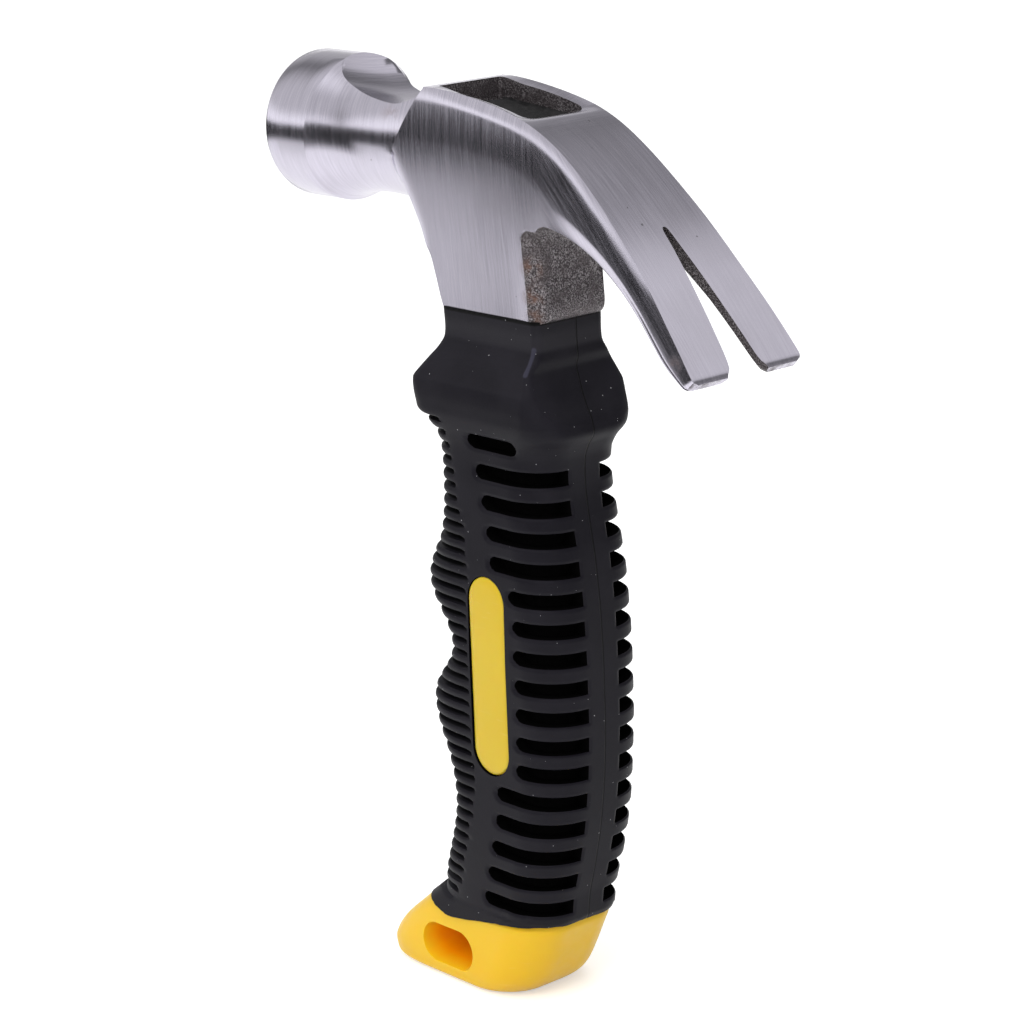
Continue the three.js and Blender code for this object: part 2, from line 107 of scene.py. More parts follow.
def add_node(tree, kind, inputs=None, **settings):
    """A node with its settings and inputs."""
    made = tree.nodes.new("ShaderNode" + kind)
    for name, value in settings.items():
        setattr(made, name, value)
    feed(tree, made, inputs or {})
    return made


def tree_of(*values):
    """The node tree of the first socket among the values."""
    return next(value.id_data for value in values if isinstance(value, bpy.types.NodeSocket))


def calculate(operation, *values):
    """A Math node's result."""
    made = add_node(tree_of(*values), "Math", dict(enumerate(values)), operation=operation)
    return made.outputs[0]


def times(first, second):
    return calculate("MULTIPLY", first, second)


def remap(value, low, high, first=0, last=1, kind="SMOOTHSTEP"):
    """A value mapped from low..high to first..last, and held beyond."""
    sockets = {"Value": value, "From Min": low, "From Max": high, "To Min": first, "To Max": last}
    made = add_node(tree_of(value), "MapRange", sockets, interpolation_type=kind)
    return made.outputs["Result"]


def vector_math(operation, first, second):
    """A Vector Math node's result."""
    tree, sockets = tree_of(first, second), {0: first, 1: second}
    made = add_node(tree, "VectorMath", sockets, operation=operation)
    return made.outputs["Value" if operation in ("DOT_PRODUCT", "DISTANCE") else "Vector"]


def noise_at(place, scale, detail):
    """The value of a cloudy noise at a place."""
    sockets = {"Vector": place, "Scale": scale, "Detail": detail}
    return add_node(tree_of(place), "TexNoise", sockets).outputs["Fac"]


def parts(vector):
    """The X, Y and Z of a vector."""
    return add_node(tree_of(vector), "SeparateXYZ", {0: vector}).outputs


def painted(tree, name):
    """The number that a mesh's corners hold under that name."""
    return add_node(tree, "Attribute", attribute_name=name).outputs["Fac"]


def object_place(tree):
    """Where a point lies in the object's own coordinates, in metres."""
    return add_node(tree, "TexCoord").outputs["Object"]


def tint(share, first, second):
    """A colour between two by a share."""
    tree = tree_of(share, first)
    return add_node(tree, "Mix", {0: share, 6: first, 7: second}, data_type="RGBA").outputs[2]


def grey(level):
    return (level, level, level, 1)


def new_material(name):
    """A node material and its Principled shader."""
    material = bpy.data.materials.new(name)
    material.use_nodes = True
    return material, material.node_tree, material.node_tree.nodes["Principled BSDF"]


def join(tree, shader, relief=None, **results):
    """Gives a finish's results to its shader; relief is in millimetres, through a Bump node."""
    feed(tree, shader, {label.replace("_", " "): result for label, result in results.items()})
    if relief is not None:
        bump = add_node(tree, "Bump", {"Height": relief, "Strength": 1.0, "Distance": 0.001})
        tree.links.new(bump.outputs[0], shader.inputs["Normal"])


def new_group(name, **takes):
    """An empty shader node group with inputs of those kinds; returns it with its inlet."""
    group = bpy.data.node_groups.new(name, "ShaderNodeTree")
    for label, kind in takes.items():
        group.interface.new_socket(label, in_out="INPUT", socket_type="NodeSocket" + kind)
    return group, group.nodes.new("NodeGroupInput").outputs


def give(group, **results):
    """The group's outputs, each joined to what makes it."""
    outlet = group.nodes.new("NodeGroupOutput")
    for label, result in results.items():
        kind = "Color" if result.type == "RGBA" else "Float"
        group.interface.new_socket(label, in_out="OUTPUT", socket_type="NodeSocket" + kind)
        group.links.new(result, outlet.inputs[label])


def place_group(group, **inputs):
    """The group's node in a material, with its own values."""
    return add_node(tree_of(*inputs.values()), "Group", inputs, node_tree=group).outputs


# %% [markdown]
# ## The studio
# A wide white floor, a soft pale world and two soft lamps. Steel shows what stands round it, so two
# low dark cards, seen only in reflections, give the cheeks and the poll their dark band. A picture
# of a studio could do this, but a card can be moved until its band lies where it should.

# %% Floor
GLOW_SEEN, GLOW_MIRRORED = 0.5, 0.33
bpy.ops.mesh.primitive_circle_add(vertices=128, radius=6, fill_type="NGON")
floor = bpy.context.object
floor.name = "floor"
floor_white, tree, shader = new_material("floor_white")
path = add_node(tree, "LightPath").outputs
mirrored = calculate("MAXIMUM", path["Is Glossy Ray"], path["Is Transmission Ray"])
glow = times(mirrored, GLOW_MIRRORED)
glow = calculate("MULTIPLY_ADD", path["Is Camera Ray"], GLOW_SEEN, glow)
join(tree, shader, Base_Color=grey(0.8), Roughness=0.9, Specular_IOR_Level=0,
     Emission_Color=grey(1), Emission_Strength=glow)
floor.data.materials.append(floor_white)
print("floor", round(floor.dimensions.x, 1), "m across")


# %% World
world = bpy.data.worlds.new("studio")
bpy.context.scene.world = world
world.use_nodes = True
sky = world.node_tree
heading = add_node(sky, "TexCoord").outputs["Generated"]
rise = parts(heading)["Z"]
HORIZON_LEVEL, SKY_LEVEL, OVERHEAD_LEVEL = 0.9, 0.2, 0.6
low_sky = remap(rise, 0.05, 0.3, HORIZON_LEVEL, SKY_LEVEL)
level = calculate("ADD", low_sky, remap(rise, 0.6, 1, 0, OVERHEAD_LEVEL))
# azimuth, elevation, outer and inner radius in degrees, strength
SOFT_BOXES = ((-143, 22, 46, 14, .55), (140, 14, 34, 10, .35), (58, 40, 18, 8, .65),
              (-55, 32, 55, 22, .5))
for azimuth, elevation, outer, inner, strength in SOFT_BOXES:
    facing = vector_math("DOT_PRODUCT", heading, direction(azimuth, elevation))
    edge, full = math.cos(math.radians(outer)), math.cos(math.radians(inner))
    level = calculate("ADD", level, remap(facing, edge, full, 0, strength))
sky.links.new(level, sky.nodes["Background"].inputs["Color"])
print("world with", len(SOFT_BOXES), "soft boxes")


# %% Lamps
def soft_lamp(name, azimuth, elevation, distance, size, power):
    """A round lamp aimed at the hammer from that direction."""
    light = bpy.data.lights.new(name, "AREA")
    light.shape = "DISK"
    light.size = size
    light.energy = power
    lamp = bpy.data.objects.new(name, light)
    bpy.context.scene.collection.objects.link(lamp)
    way = direction(azimuth, elevation)
    lamp.location = at(0, 0, -20) + way * distance
    lamp.rotation_euler = way.to_track_quat("Z", "Y").to_euler()
    lamp.visible_glossy = False
    print(name, [round(v, 2) for v in lamp.location])


soft_lamp("lamp_front", -70, 40, 1.1, 0.7, 5)
soft_lamp("lamp_top", 0, 80, 1.2, 0.9, 6)

# %% Low dark cards, seen only in reflections
def dark_card(name, columns, radius, height, x, fade_top, sides=0):
    """A ring of a card: pale at its foot, dark above, and clear at its sides if it has any."""
    bpy.ops.mesh.primitive_cylinder_add(
        vertices=columns, radius=radius, depth=height, end_fill_type="NOTHING",
        location=(x, 0, height / 2))
    card = bpy.context.object
    card.name = name
    material, tree, shader = new_material(name)
    across = parts(object_place(tree))
    shade = remap(across["Z"], -0.07, fade_top, 0.85, 0.03)
    glow = add_node(tree, "Emission", {"Color": shade}).outputs[0]
    if sides:
        clear = add_node(tree, "BsdfTransparent").outputs[0]
        share = remap(calculate("ABSOLUTE", across["X"]), 0.5 * sides, sides)
        glow = add_node(tree, "MixShader", {0: share, 1: glow, 2: clear}).outputs[0]
    tree.links.new(glow, tree.nodes["Material Output"].inputs["Surface"])
    tree.nodes.remove(shader)
    card.data.materials.append(material)
    for kind in ("camera", "diffuse", "shadow", "transmission"):
        setattr(card, "visible_" + kind, False)
    print(name, len(card.data.polygons), "faces")


dark_card("dark_ring", 128, 0.56, 0.14, 0, -0.035)
dark_card("dark_near_card", 48, 0.25, 0.15, -0.03, -0.025, 0.24)
bpy.ops.object.mode_set(mode="EDIT")
mesh = bmesh.from_edit_mesh(bpy.context.object.data)
for face in mesh.faces:
    face.select_set(face.calc_center_median().y > -0.1)
bmesh.update_edit_mesh(bpy.context.object.data)
bpy.ops.mesh.delete(type="FACE")
bpy.ops.object.mode_set(mode="OBJECT")

# %% [markdown]
# ## Helpers for drawing a solid
# A tube starts as a cylinder. Its long edges are cut into rows in edit mode, and each ring is then
# drawn to its own section. A few rings under a subdivision surface would do for a soft form, but
# close rings keep the edges of a forging. Outlines are rows of points joined by a smooth curve.

# %% Curves through rows of points
def mix(a, b, share):
    """Between a and b by a share."""
    return a + (b - a) * share


def ease(low, high, value):
    """0 below low, 1 above high, and a smooth rise between."""
    s = min(max((value - low) / (high - low), 0), 1)
    return s * s * (3 - 2 * s)


def curve_at(rows, value, column=1):
    """The value of a column on a smooth curve through the rows, at that value of the first."""
    if value <= rows[0][0]:
        return rows[0][column]
    if value >= rows[-1][0]:
        return rows[-1][column]
    k = next(i for i in range(1, len(rows)) if rows[i][0] >= value)
    a, b = rows[k - 1], rows[k]
    before, after = rows[max(k - 2, 0)], rows[min(k + 1, len(rows) - 1)]
    span = b[0] - a[0]
    slope_a = (b[column] - before[column]) / (b[0] - before[0]) * span
    slope_b = (after[column] - a[column]) / (after[0] - a[0]) * span
    s = (value - a[0]) / span
    start = (1 + 2 * s) * (1 - s) ** 2
    return (start * a[column] + s * (1 - s) ** 2 * slope_a
            + (1 - start) * b[column] - s * s * (1 - s) * slope_b)


# %% Cutting edges into rows
def pick(obj):
    """Only this object is selected and active."""
    bpy.ops.object.select_all(action="DESELECT")
    obj.select_set(True)
    bpy.context.view_layer.objects.active = obj


MOST_CUTS = 100


def cut_rows(obj, axis, pieces):
    """Cuts the edges that run along one axis into that many pieces each."""
    pick(obj)
    bpy.ops.object.mode_set(mode="EDIT")
    bpy.ops.mesh.select_mode(type="EDGE")
    while pieces > 1:
        step = next(n for n in range(min(pieces, MOST_CUTS), 1, -1) if pieces % n == 0)
        pieces //= step
        bpy.ops.mesh.select_all(action="DESELECT")
        mesh = bmesh.from_edit_mesh(obj.data)
        for edge in mesh.edges:
            run = edge.verts[1].co - edge.verts[0].co
            if abs(run[axis]) > 0.99 * run.length:
                edge.select_set(True)
        bmesh.update_edit_mesh(obj.data)
        bpy.ops.mesh.subdivide(number_cuts=step - 1)
    bpy.ops.object.mode_set(mode="OBJECT")


def face_outwards(obj):
    """Turns a closed form whose volume comes out negative."""
    check = bmesh.new()
    check.from_mesh(obj.data)
    inside_out = check.calc_volume(signed=True) < 0
    check.free()
    if inside_out:
        bpy.ops.object.mode_set(mode="EDIT")
        bpy.ops.mesh.select_all(action="SELECT")
        bpy.ops.mesh.flip_normals()
        bpy.ops.object.mode_set(mode="OBJECT")


def tube(name, columns, rows, ring):
    """A closed tube; ring(row, column) gives each corner's place in millimetres."""
    bpy.ops.mesh.primitive_cylinder_add(vertices=columns, depth=rows - 1, end_fill_type="NGON")
    obj = bpy.context.object
    obj.name = obj.data.name = name
    cut_rows(obj, 2, rows - 1)
    for corner in obj.data.vertices:
        row = round(corner.co.z + (rows - 1) / 2)
        column = round(math.atan2(corner.co.y, corner.co.x) / math.tau * columns) % columns
        corner.co = at(*ring(row, column))
    face_outwards(obj)
    return obj


def use(obj, kind, **values):
    """Adds a modifier with those values and applies it."""
    pick(obj)
    modifier = obj.modifiers.new(kind.lower(), kind)
    for name, value in values.items():
        setattr(modifier, name, value)
    bpy.ops.object.modifier_apply(modifier=modifier.name)


def cut_with(obj, tool, operation="DIFFERENCE", finish=0):
    """A Boolean with a tool that is then removed; the faces it leaves get that finish, 0 or 1."""
    for mesh in (obj.data, tool.data):
        while len(mesh.materials) < 2:
            mesh.materials.append(None)
    tool.data.polygons.foreach_set("material_index", [finish] * len(tool.data.polygons))
    use(obj, "BOOLEAN", object=tool, operation=operation, solver="EXACT")
    print(operation.lower(), tool.name, "leaves", len(obj.data.polygons), "faces")
    bpy.data.objects.remove(tool)


def smooth(obj, angle):
    """Smooth shading except across sharp corners."""
    pick(obj)
    bpy.ops.object.shade_smooth_by_angle(angle=math.radians(angle))


def paint(obj, name, values):
    """A number for each corner of the mesh, which a material can read by that name."""
    layer = obj.data.attributes.new(name, "FLOAT", "POINT")
    layer.data.foreach_set("value", values)


def dress(obj, finishes, slot, *nodes):
    """The piece gets its finishes, rides on the one body and stands for those CAD nodes."""
    while len(obj.data.materials) < len(finishes):
        obj.data.materials.append(None)
    for k, material in enumerate(finishes):
        obj.data.materials[k] = material
    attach(obj, "root")
    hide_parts(*nodes)
    print(obj.name, len(obj.data.polygons), "faces in", [finish.name for finish in finishes])


# %% [markdown]
# ## The head
# The head is one forging: a round poll with a ring and a waist, a flat-cheeked body round the eye,
# and two claws that curve down. It could be sculpted, but a die leaves clear lines, so it is drawn.
# The body and claws start as one block cut into rows, between the crown above and the foot and arch
# below. Each stage gives one line across the side view.

# %% Outlines of the head
# share along the block, x and height of its foot, x of its crown
HEAD_STAGES = ((0, -10.4, 0, -11.5), (.1, 0, 0, -3.5), (.2, 12.3, 0, 8), (.27, 12.4, 7, 10.5),
               (.33, 12.6, 12.3, 12.8), (.37, 13.6, 14.6, 15.1), (.41, 15.4, 15.4, 17.8),
               (.46, 18, 15.1, 21), (.52, 21, 14.3, 24.6), (.59, 25, 12.8, 28.8),
               (.67, 29, 10.7, 32.7), (.74, 33, 7.9, 36.2), (.81, 36.5, 4.7, 39.5),
               (.88, 39.8, 1.2, 42.8), (.94, 42.8, -1.7, 45.9), (.98, 46.1, -3.9, 48.3),
               (1, 48, -4.9, 49.5))
# x and height of the crown
CROWN = ((-11.5, 34.5), (-9, 34.5), (-5, 34.2), (0, 33.57), (5, 32.69), (10, 31.44), (14, 29.94),
         (18, 27.84), (22, 25.14), (26, 21.94), (30, 18.4), (34, 14.56), (38, 10.36), (42, 5.82),
         (46, 1.04), (49.5, -3.4))
# height, and how far the body's front swells forward there
BREAST = ((0, 0), (1.5, .4), (5, 1), (8, 1.6), (9.5, 2.4), (10.9, 3.3), (13.8, 4.7), (17.7, 6.4),
          (19.6, 7.6), (21.9, 8.4), (24.1, 8), (26.1, 6.7), (30.4, 3.4), (34.3, 0))
# x and half width, down the sides (PLAN) and at the crown's edge (CREASE)
PLAN = ((-20, 8.95), (-12, 9.05), (0, 9.1), (8, 9.05), (14, 8.9), (20, 9), (26, 9.35), (32, 9.8),
        (38, 10.3), (43.5, 11), (49.4, 11.7))
CREASE = ((-12, 8.3), (-4, 8.1), (3, 8), (9.5, 8.1), (15, 8.1), (20, 8.15), (26, 8.5), (32, 9.1),
          (38, 9.7), (43.5, 10.6), (49.4, 11.4))


# %% Body and claws
BLOCK_LENGTH, TIP_BEVEL, TIP_CORNER = 85, 0.9, 1.2
CHEEK_LEAN_DEPTH, CROWN_ROUND_DEPTH, FOOT_TAPER, CROWN_DISH = 8.5, 2.4, 2.15, 0.8


def plan_width(x, z, depth, thick):
    """Half the head's width at a place in the side view, depth below the crown."""
    width = curve_at(PLAN, x)
    lean = width - curve_at(CREASE, x)
    share = depth / min(CHEEK_LEAN_DEPTH, 0.75 * thick)
    long_lean, short_lean = min(0.5, lean), lean - min(0.5, lean)
    width -= (long_lean * max(0, 1 - share) ** 1.8
              + short_lean * max(0, 1 - depth / CROWN_ROUND_DEPTH) ** 2.2)
    width -= FOOT_TAPER * (1 - ease(-6, 28, z)) * (1 - ease(6, 26, x))
    if 10.1 < x < 14 and z < 14:  # the bevel at the back of the socket
        width -= min(1, (x - 10.1) / 2.1) * 1.8 * (1 - ease(12.6, 14, z))
    if x > 16:  # the claws' lower edge
        width -= 0.35 * ease(0.7, 1, depth / thick) * ease(16, 24, x)
    return width


def head_corner(t, s, v):
    """A corner of the head's block: t along it, s from foot to crown, v across it."""
    foot = (curve_at(HEAD_STAGES, t, 1), curve_at(HEAD_STAGES, t, 2))
    top = curve_at(HEAD_STAGES, t, 3)
    crown = (top, curve_at(CROWN, top))
    thick = math.hypot(crown[0] - foot[0], crown[1] - foot[1])
    left = (1 - t) * BLOCK_LENGTH
    if left < TIP_BEVEL:
        bevel = (1 - left / TIP_BEVEL) ** 2
        s = mix(0.3 * bevel, 1 - 0.12 * bevel, s)
    x, z = mix(foot[0], crown[0], s), mix(foot[1], crown[1], s)
    if t < 0.1:
        x -= curve_at(BREAST, z) * (1 - t / 0.1)
    width = plan_width(x, z, (1 - s) * thick, thick)
    if left < TIP_CORNER:
        width -= TIP_CORNER - math.sqrt(TIP_CORNER ** 2 - (TIP_CORNER - left) ** 2)
    dish = ease(-10, -4, x) * (1 - ease(9, 12, x)) * max(0, 1 - (1 - s) * thick)
    z -= CROWN_DISH * (1 - v ** 4) * dish
    return x, v * width, z


bpy.ops.mesh.primitive_cube_add(size=1)
head = bpy.context.object
head.name = head.data.name = "head_forging"
for axis, pieces in ((0, 240), (2, 80), (1, 32)):
    cut_rows(head, axis, pieces)
for corner in head.data.vertices:
    t, v, s = corner.co.x + 0.5, corner.co.y * 2, corner.co.z + 0.5
    corner.co = at(*head_corner(t, 1 - (1 - s) ** 1.4, v))
print("body and claws:", len(head.data.polygons), "faces")

# %% Poll
FACE_Z, POLL_COLUMNS = 25.06, 160
# x and radius, then x and the neck's width as a share of its height
NECK = ((-47.79, 11.15), (-47.78, 11.2), (-47.7, 11.6), (-47.4, 11.85), (-47, 12), (-44, 12),
        (-40, 12), (-37.4, 12), (-37.2, 11.9), (-36.5, 11.5), (-35.5, 11), (-34, 10.5), (-32, 10.1),
        (-30, 9.9), (-28.5, 9.85), (-26, 9.9), (-24, 10), (-22, 10.2), (-20, 10.5), (-18, 11),
        (-16, 11.3), (-14, 11.5), (-12.5, 11.5), (-6, 11.5))
NECK_WAIST = ((-37.4, 1), (-36, .965), (-34, .9), (-32, .845), (-29, .82), (-25, .82),
              (-20, .8), (-14, .75))


def neck_ring(row, column):
    x, radius = NECK[row]
    turn = math.tau * column / POLL_COLUMNS
    across = radius * curve_at(NECK_WAIST, x)
    tilt = 0.9 * math.sin(turn) * ease(-44, -38, x) * (1 - ease(-36, -30, x))
    z = FACE_Z + radius * math.sin(turn)
    if x > -20:
        z = max(z, FACE_Z - 9.6)
    if x > -13:
        z = min(z, FACE_Z + 8)
    return x + tilt, across * math.cos(turn), z


cut_with(head, tube("poll", POLL_COLUMNS, len(NECK), neck_ring), "UNION")

# %% Scallop on top of the neck
SCALLOP_COLUMNS, SCALLOP_ROWS, SCALLOP_ROOF = 80, 15, 42
# x and height of the hollow's floor
SCALLOP = ((-38.6, 40.5), (-37, 38.1), (-36, 36.5), (-35, 35.1), (-33.4, 33.8), (-30.7, 32.6),
           (-28, 31.9), (-25, 31.4), (-22, 31.1), (-20, 31.1), (-17.8, 31.5), (-15.7, 32.3),
           (-13.7, 33.4), (-11.9, 34.6), (-10, 36.5))


def scallop_ring(row, column):
    y = mix(-14, 14, row / (SCALLOP_ROWS - 1))
    share = column / (SCALLOP_COLUMNS // 2)
    if share > 1:
        return mix(-10, -38.6, share - 1), y, SCALLOP_ROOF
    x = mix(-38.6, -10, share)
    lean = 0.13 * (y + 6.5) + 0.5 * max(0, 1 - (y / 7.5) ** 2)
    low = curve_at(SCALLOP, x) - lean * (1 - ease(-21, -14, x))
    return x, y, low


cut_with(head, tube("scallop", SCALLOP_COLUMNS, SCALLOP_ROWS, scallop_ring))

# %% Eye
# reach to the front, reach to the rear and half width, then what each gains with the height
EYE_FLOOR = (8, 8, 4.8)
EYE_RISE = (2.25 / 36, 2.4 / 36, 1.7 / 36)
# the side of x and of y that each corner is on, and its radius
EYE_CORNERS = ((1, 1, 2.2), (-1, 1, 0.6), (-1, -1, 0.6), (1, -1, 2.2))


def eye_outline(height, column, columns=40, gap=0):
    """A place on the tapered eye at a height; its rear corners are round, its front ones sharp."""
    quarter, step = divmod(column, columns // 4)
    sx, sy, corner = EYE_CORNERS[quarter]
    front, rear, half = (low + rise * height - gap for low, rise in zip(EYE_FLOOR, EYE_RISE))
    reach = rear if sx > 0 else front
    turn = (quarter + step / (columns // 4 - 1)) * math.pi / 2
    x = sx * (reach - corner) + corner * math.cos(turn)
    return x, sy * (half - corner) + corner * math.sin(turn)


def eye_ring(row, column):
    height = (-2, 0, 36, 42)[row]
    return (*eye_outline(max(height, 0), column), height)


cut_with(head, tube("eye_tool", 40, 4, eye_ring), finish=1)

# %% Nail notch
# x and half width, then x and the depth of the straight walls
NOTCH = ((32.4, .15), (32.5, .34), (32.8, .52), (33.4, .63), (35, .8), (37, 1.1), (40, 1.58),
         (43, 2.07), (45, 2.42), (47, 2.77), (48, 3), (48.7, 3.3), (49.3, 4.1), (50.5, 4.4),
         (53, 4.9))
WALL = ((32.5, 2.6), (36, 2.2), (40, 1.6), (45, 1.3), (49.4, 1.1))


def notch_ring(row, column):
    """Across the claws: straight walls under the crown, then an undercut that eases the nail in."""
    x, half = NOTCH[row]
    slope = math.atan(-1.05)
    wall = curve_at(WALL, x)
    depth, reach = ((-4, 0), (-4, half), (wall, half), (wall + 7, half + 8), (wall + 7, 0),
                    (wall + 7, -half - 8), (wall, -half), (-4, -half))[column]
    if row < 4:
        reach = math.copysign(min(abs(reach), half * 3), reach)
    return x + depth * math.sin(slope), reach, curve_at(CROWN, x) - depth * math.cos(slope)


cut_with(head, tube("notch", 8, len(NOTCH), notch_ring), finish=1)

# %% Blend under the neck
neck_blend = head.vertex_groups.new(name="neck_blend")
for corner in head.data.vertices:
    x, y, z = millimetres(corner.co)
    soft = ease(-24, -19, x) * (1 - ease(-15, -11, x)) * (1 - ease(20, 25, z)) * ease(9, 13, z)
    if soft > 0:
        neck_blend.add([corner.index], soft, "REPLACE")
use(head, "SMOOTH", iterations=40, vertex_group="neck_blend")
head.vertex_groups.clear()
smooth(head, 35)
print("head is", [round(v * 1000, 1) for v in head.dimensions], "mm")

# %% [markdown]
# ### Where the forging is left rough
# The walls of the eye and the notch, the back of the foot and the underside of the arch keep the
# forging's dark skin; the rest is ground bright. The cut faces get a material of their own, but a
# ground edge fades over a millimetre, so each corner also gets a share of rough skin and of rust.

# %% Rough skin and rust
# place, reach and strength
RUST_SPOTS = (
    ((10.2, -6.2, 8.5), 2.6, 0.9), ((10.3, -6.1, 4), 2.6, 0.8), ((10.4, -6, 0.8), 2, 0.7),
    ((-20.5, -7.6, 29.5), 2.6, 0.3), ((38, 1.4, 6), 3.5, 0.7), ((42, 2, 1), 3, 0.6),
    ((45.5, -10.8, -1), 2, 0.5), ((10.2, 6.2, 5), 3, 0.7),
)


def rough_share(place, normal):
    """1 on the forging's rough skin, 0 on ground steel, and a slope of a millimetre between."""
    x, y, z = place
    share = 0
    if x < 15 and normal.z < 0.5:
        a, b = x - 9.7, 14.4 - z
        inside = 2 - math.hypot(2 - a, 2 - b) if a < 2 and b < 2 else min(a, b)
        share = min(max(0.5 + inside, 0), 1)
    if 12 < x < 36 and normal.z < -0.35:
        share = max(share, 1 - ease(30, 36, x))
    # The claws' end faces are made half rough: darker, duller and less metallic.
    if x > 46 and normal.x > 0.35 and normal.z < 0.25:
        share = max(share, 0.5)
    return share


rough, rust = [], []
for corner in head.data.vertices:
    place = millimetres(corner.co)
    rough.append(rough_share(place, corner.normal))
    spots = (power * (1 - ease(0.2 * reach, reach, math.dist(place, spot)))
             for spot, reach, power in RUST_SPOTS)
    rust.append(max(spots))
paint(head, "rough_skin", rough)
paint(head, "rust", rust)
print("rough corners:", sum(1 for value in rough if value > 0.5), "cut faces:",
      sum(face.material_index for face in head.data.polygons))

# %% [markdown]
# ### Ground steel
# The bright parts were ground on a belt, so fine parallel lines run round the poll, down the cheeks
# and along the claws. The shader's anisotropy would only blur the shine, and the lines are seen, so
# they are a noise stretched along one axis.

# %% Grinding lines and specks
grinding_lines, taken = new_group("grinding_lines", Place="Vector", Stretch="Vector")
group = grinding_lines
stretched = vector_math("MULTIPLY", taken["Place"], taken["Stretch"])
fine, coarse = noise_at(stretched, 1, 3), noise_at(stretched, 0.35, 1)
total = calculate("MULTIPLY_ADD", coarse, 0.25, times(fine, 0.75))
give(group, Lines=remap(total, 0.3, 0.7))

specks, taken = new_group("specks", Place="Vector", Scale="Float", Size="Float", Share="Float")
group = specks
bent = add_node(group, "TexNoise", {"Vector": taken["Place"], "Scale": 2500, "Detail": 1})
shift = vector_math("MULTIPLY", bent.outputs["Color"], (0.0002, 0.0002, 0.0002))
moved = vector_math("ADD", taken["Place"], shift)
cells = add_node(group, "TexVoronoi", {"Vector": moved, "Scale": taken["Scale"]})
chance = add_node(group, "SeparateColor", {0: cells.outputs["Color"]}).outputs
reach = times(taken["Size"], chance[1])
near = remap(calculate("SUBTRACT", reach, cells.outputs["Distance"]), 0, 0.02)
kept = calculate("LESS_THAN", chance[0], taken["Share"])
give(group, Mask=times(near, kept))

# %% The forging's skin
forging_skin, taken = new_group("forging_skin", Place="Vector")
group = forging_skin
grit, patch = noise_at(taken["Place"], 4200, 2), noise_at(taken["Place"], 420, 3)
PIT, PEAK, STAIN = (0.045, 0.038, 0.041, 1), (0.36, 0.33, 0.345, 1), (0.075, 0.062, 0.066, 1)
skin = tint(remap(grit, 0.4, 0.7), PIT, PEAK)
skin = tint(remap(patch, 0.4, 0.65, 0, 0.6), skin, STAIN)
give(group, Colour=skin, Grit=grit, Patch=patch)
print("groups:", [group.name for group in (grinding_lines, specks, forging_skin)])

# %% Ground steel: lines, clouds and specks
steel, tree, shader = new_material("ground_steel")
place = object_place(tree)
axes = parts(place)
normal = parts(add_node(tree, "TexCoord").outputs["Normal"])


def lines_along(stretch, turn=0):
    """Grinding lines along the axes with the smallest stretch, once turned about Y."""
    turned = add_node(tree, "Mapping", {"Vector": place, "Rotation": (0, turn, 0)}).outputs[0]
    return place_group(grinding_lines, Place=turned, Stretch=stretch)["Lines"]


CLAW_SLOPE = math.radians(-46)
round_lines = lines_along((7000, 160, 160))
claw_top = lines_along((140, 7000, 140))
claw_side = lines_along((160, 160, 3000), CLAW_SLOPE)
on_claw = remap(axes["X"], 0.010, 0.017)
sideways = calculate("ABSOLUTE", normal["Y"])
claw_lines = add_node(tree, "Mix", {0: remap(sideways, 0.4, 0.7), 2: claw_top, 3: claw_side})
lines = add_node(tree, "Mix", {0: on_claw, 2: round_lines, 3: claw_lines.outputs[0]}).outputs[0]
cloud = noise_at(place, 90, 4)
FURROW, RIDGE, DULLED = (0.53, 0.505, 0.59, 1), (0.65, 0.62, 0.715, 1), (0.48, 0.455, 0.52, 1)
bright = tint(lines, FURROW, RIDGE)
bright = tint(remap(cloud, 0.35, 0.75, 0, 0.35), bright, DULLED)
marks = place_group(specks, Place=place, Scale=330, Size=0.1, Share=0.4)["Mask"]
bright = tint(times(marks, 0.6), bright, (0.12, 0.11, 0.12, 1))
print("steel so far:", len(tree.nodes), "nodes")

# %% Rough skin and rust on the steel
skin = place_group(forging_skin, Place=place)
grit, patch = skin["Grit"], skin["Patch"]
rough_edge = calculate("MULTIPLY_ADD", patch, 0.5, -0.25)
rough_mask = remap(calculate("ADD", painted(tree, "rough_skin"), rough_edge), 0.4, 0.6)
colour = tint(rough_mask, bright, skin["Colour"])
rusty = times(painted(tree, "rust"), remap(patch, 0.4, 0.62))
rust_colour = tint(grit, (0.09, 0.03, 0.015, 1), (0.3, 0.15, 0.09, 1))
colour = tint(rusty, colour, rust_colour)
metal = calculate("SUBTRACT", 1, times(rough_mask, 0.45))
metal = calculate("SUBTRACT", metal, times(rusty, 0.4))
sheen = calculate("MULTIPLY_ADD", lines, 0.07, 0.17)
sheen = calculate("ADD", sheen, times(rough_mask, 0.25))

POLL_FURROWS, CLAW_FURROWS = 0.0004, 0.00003
furrows = remap(axes["X"], 0.010, 0.017, POLL_FURROWS, CLAW_FURROWS)
ground = times(lines, furrows)
pitted = times(times(grit, rough_mask), 0.16)
relief = calculate("ADD", ground, pitted)
relief = calculate("SUBTRACT", relief, times(marks, 0.03))
join(tree, shader, relief, Base_Color=colour, Metallic=metal, Roughness=sheen)
print("steel:", len(tree.nodes), "nodes")

# %% Walls of the eye and the notch
forged, tree, shader = new_material("forged_skin")
skin = place_group(forging_skin, Place=object_place(tree))
dull = tint(0.3, skin["Colour"], (0.03, 0.024, 0.026, 1))
join(tree, shader, times(skin["Grit"], 0.2), Base_Color=dull, Metallic=0.6,
     Roughness=remap(skin["Grit"], 0.4, 0.7, 0.65, 0.4))
dress(head, [steel, forged], "head_steel", "head")

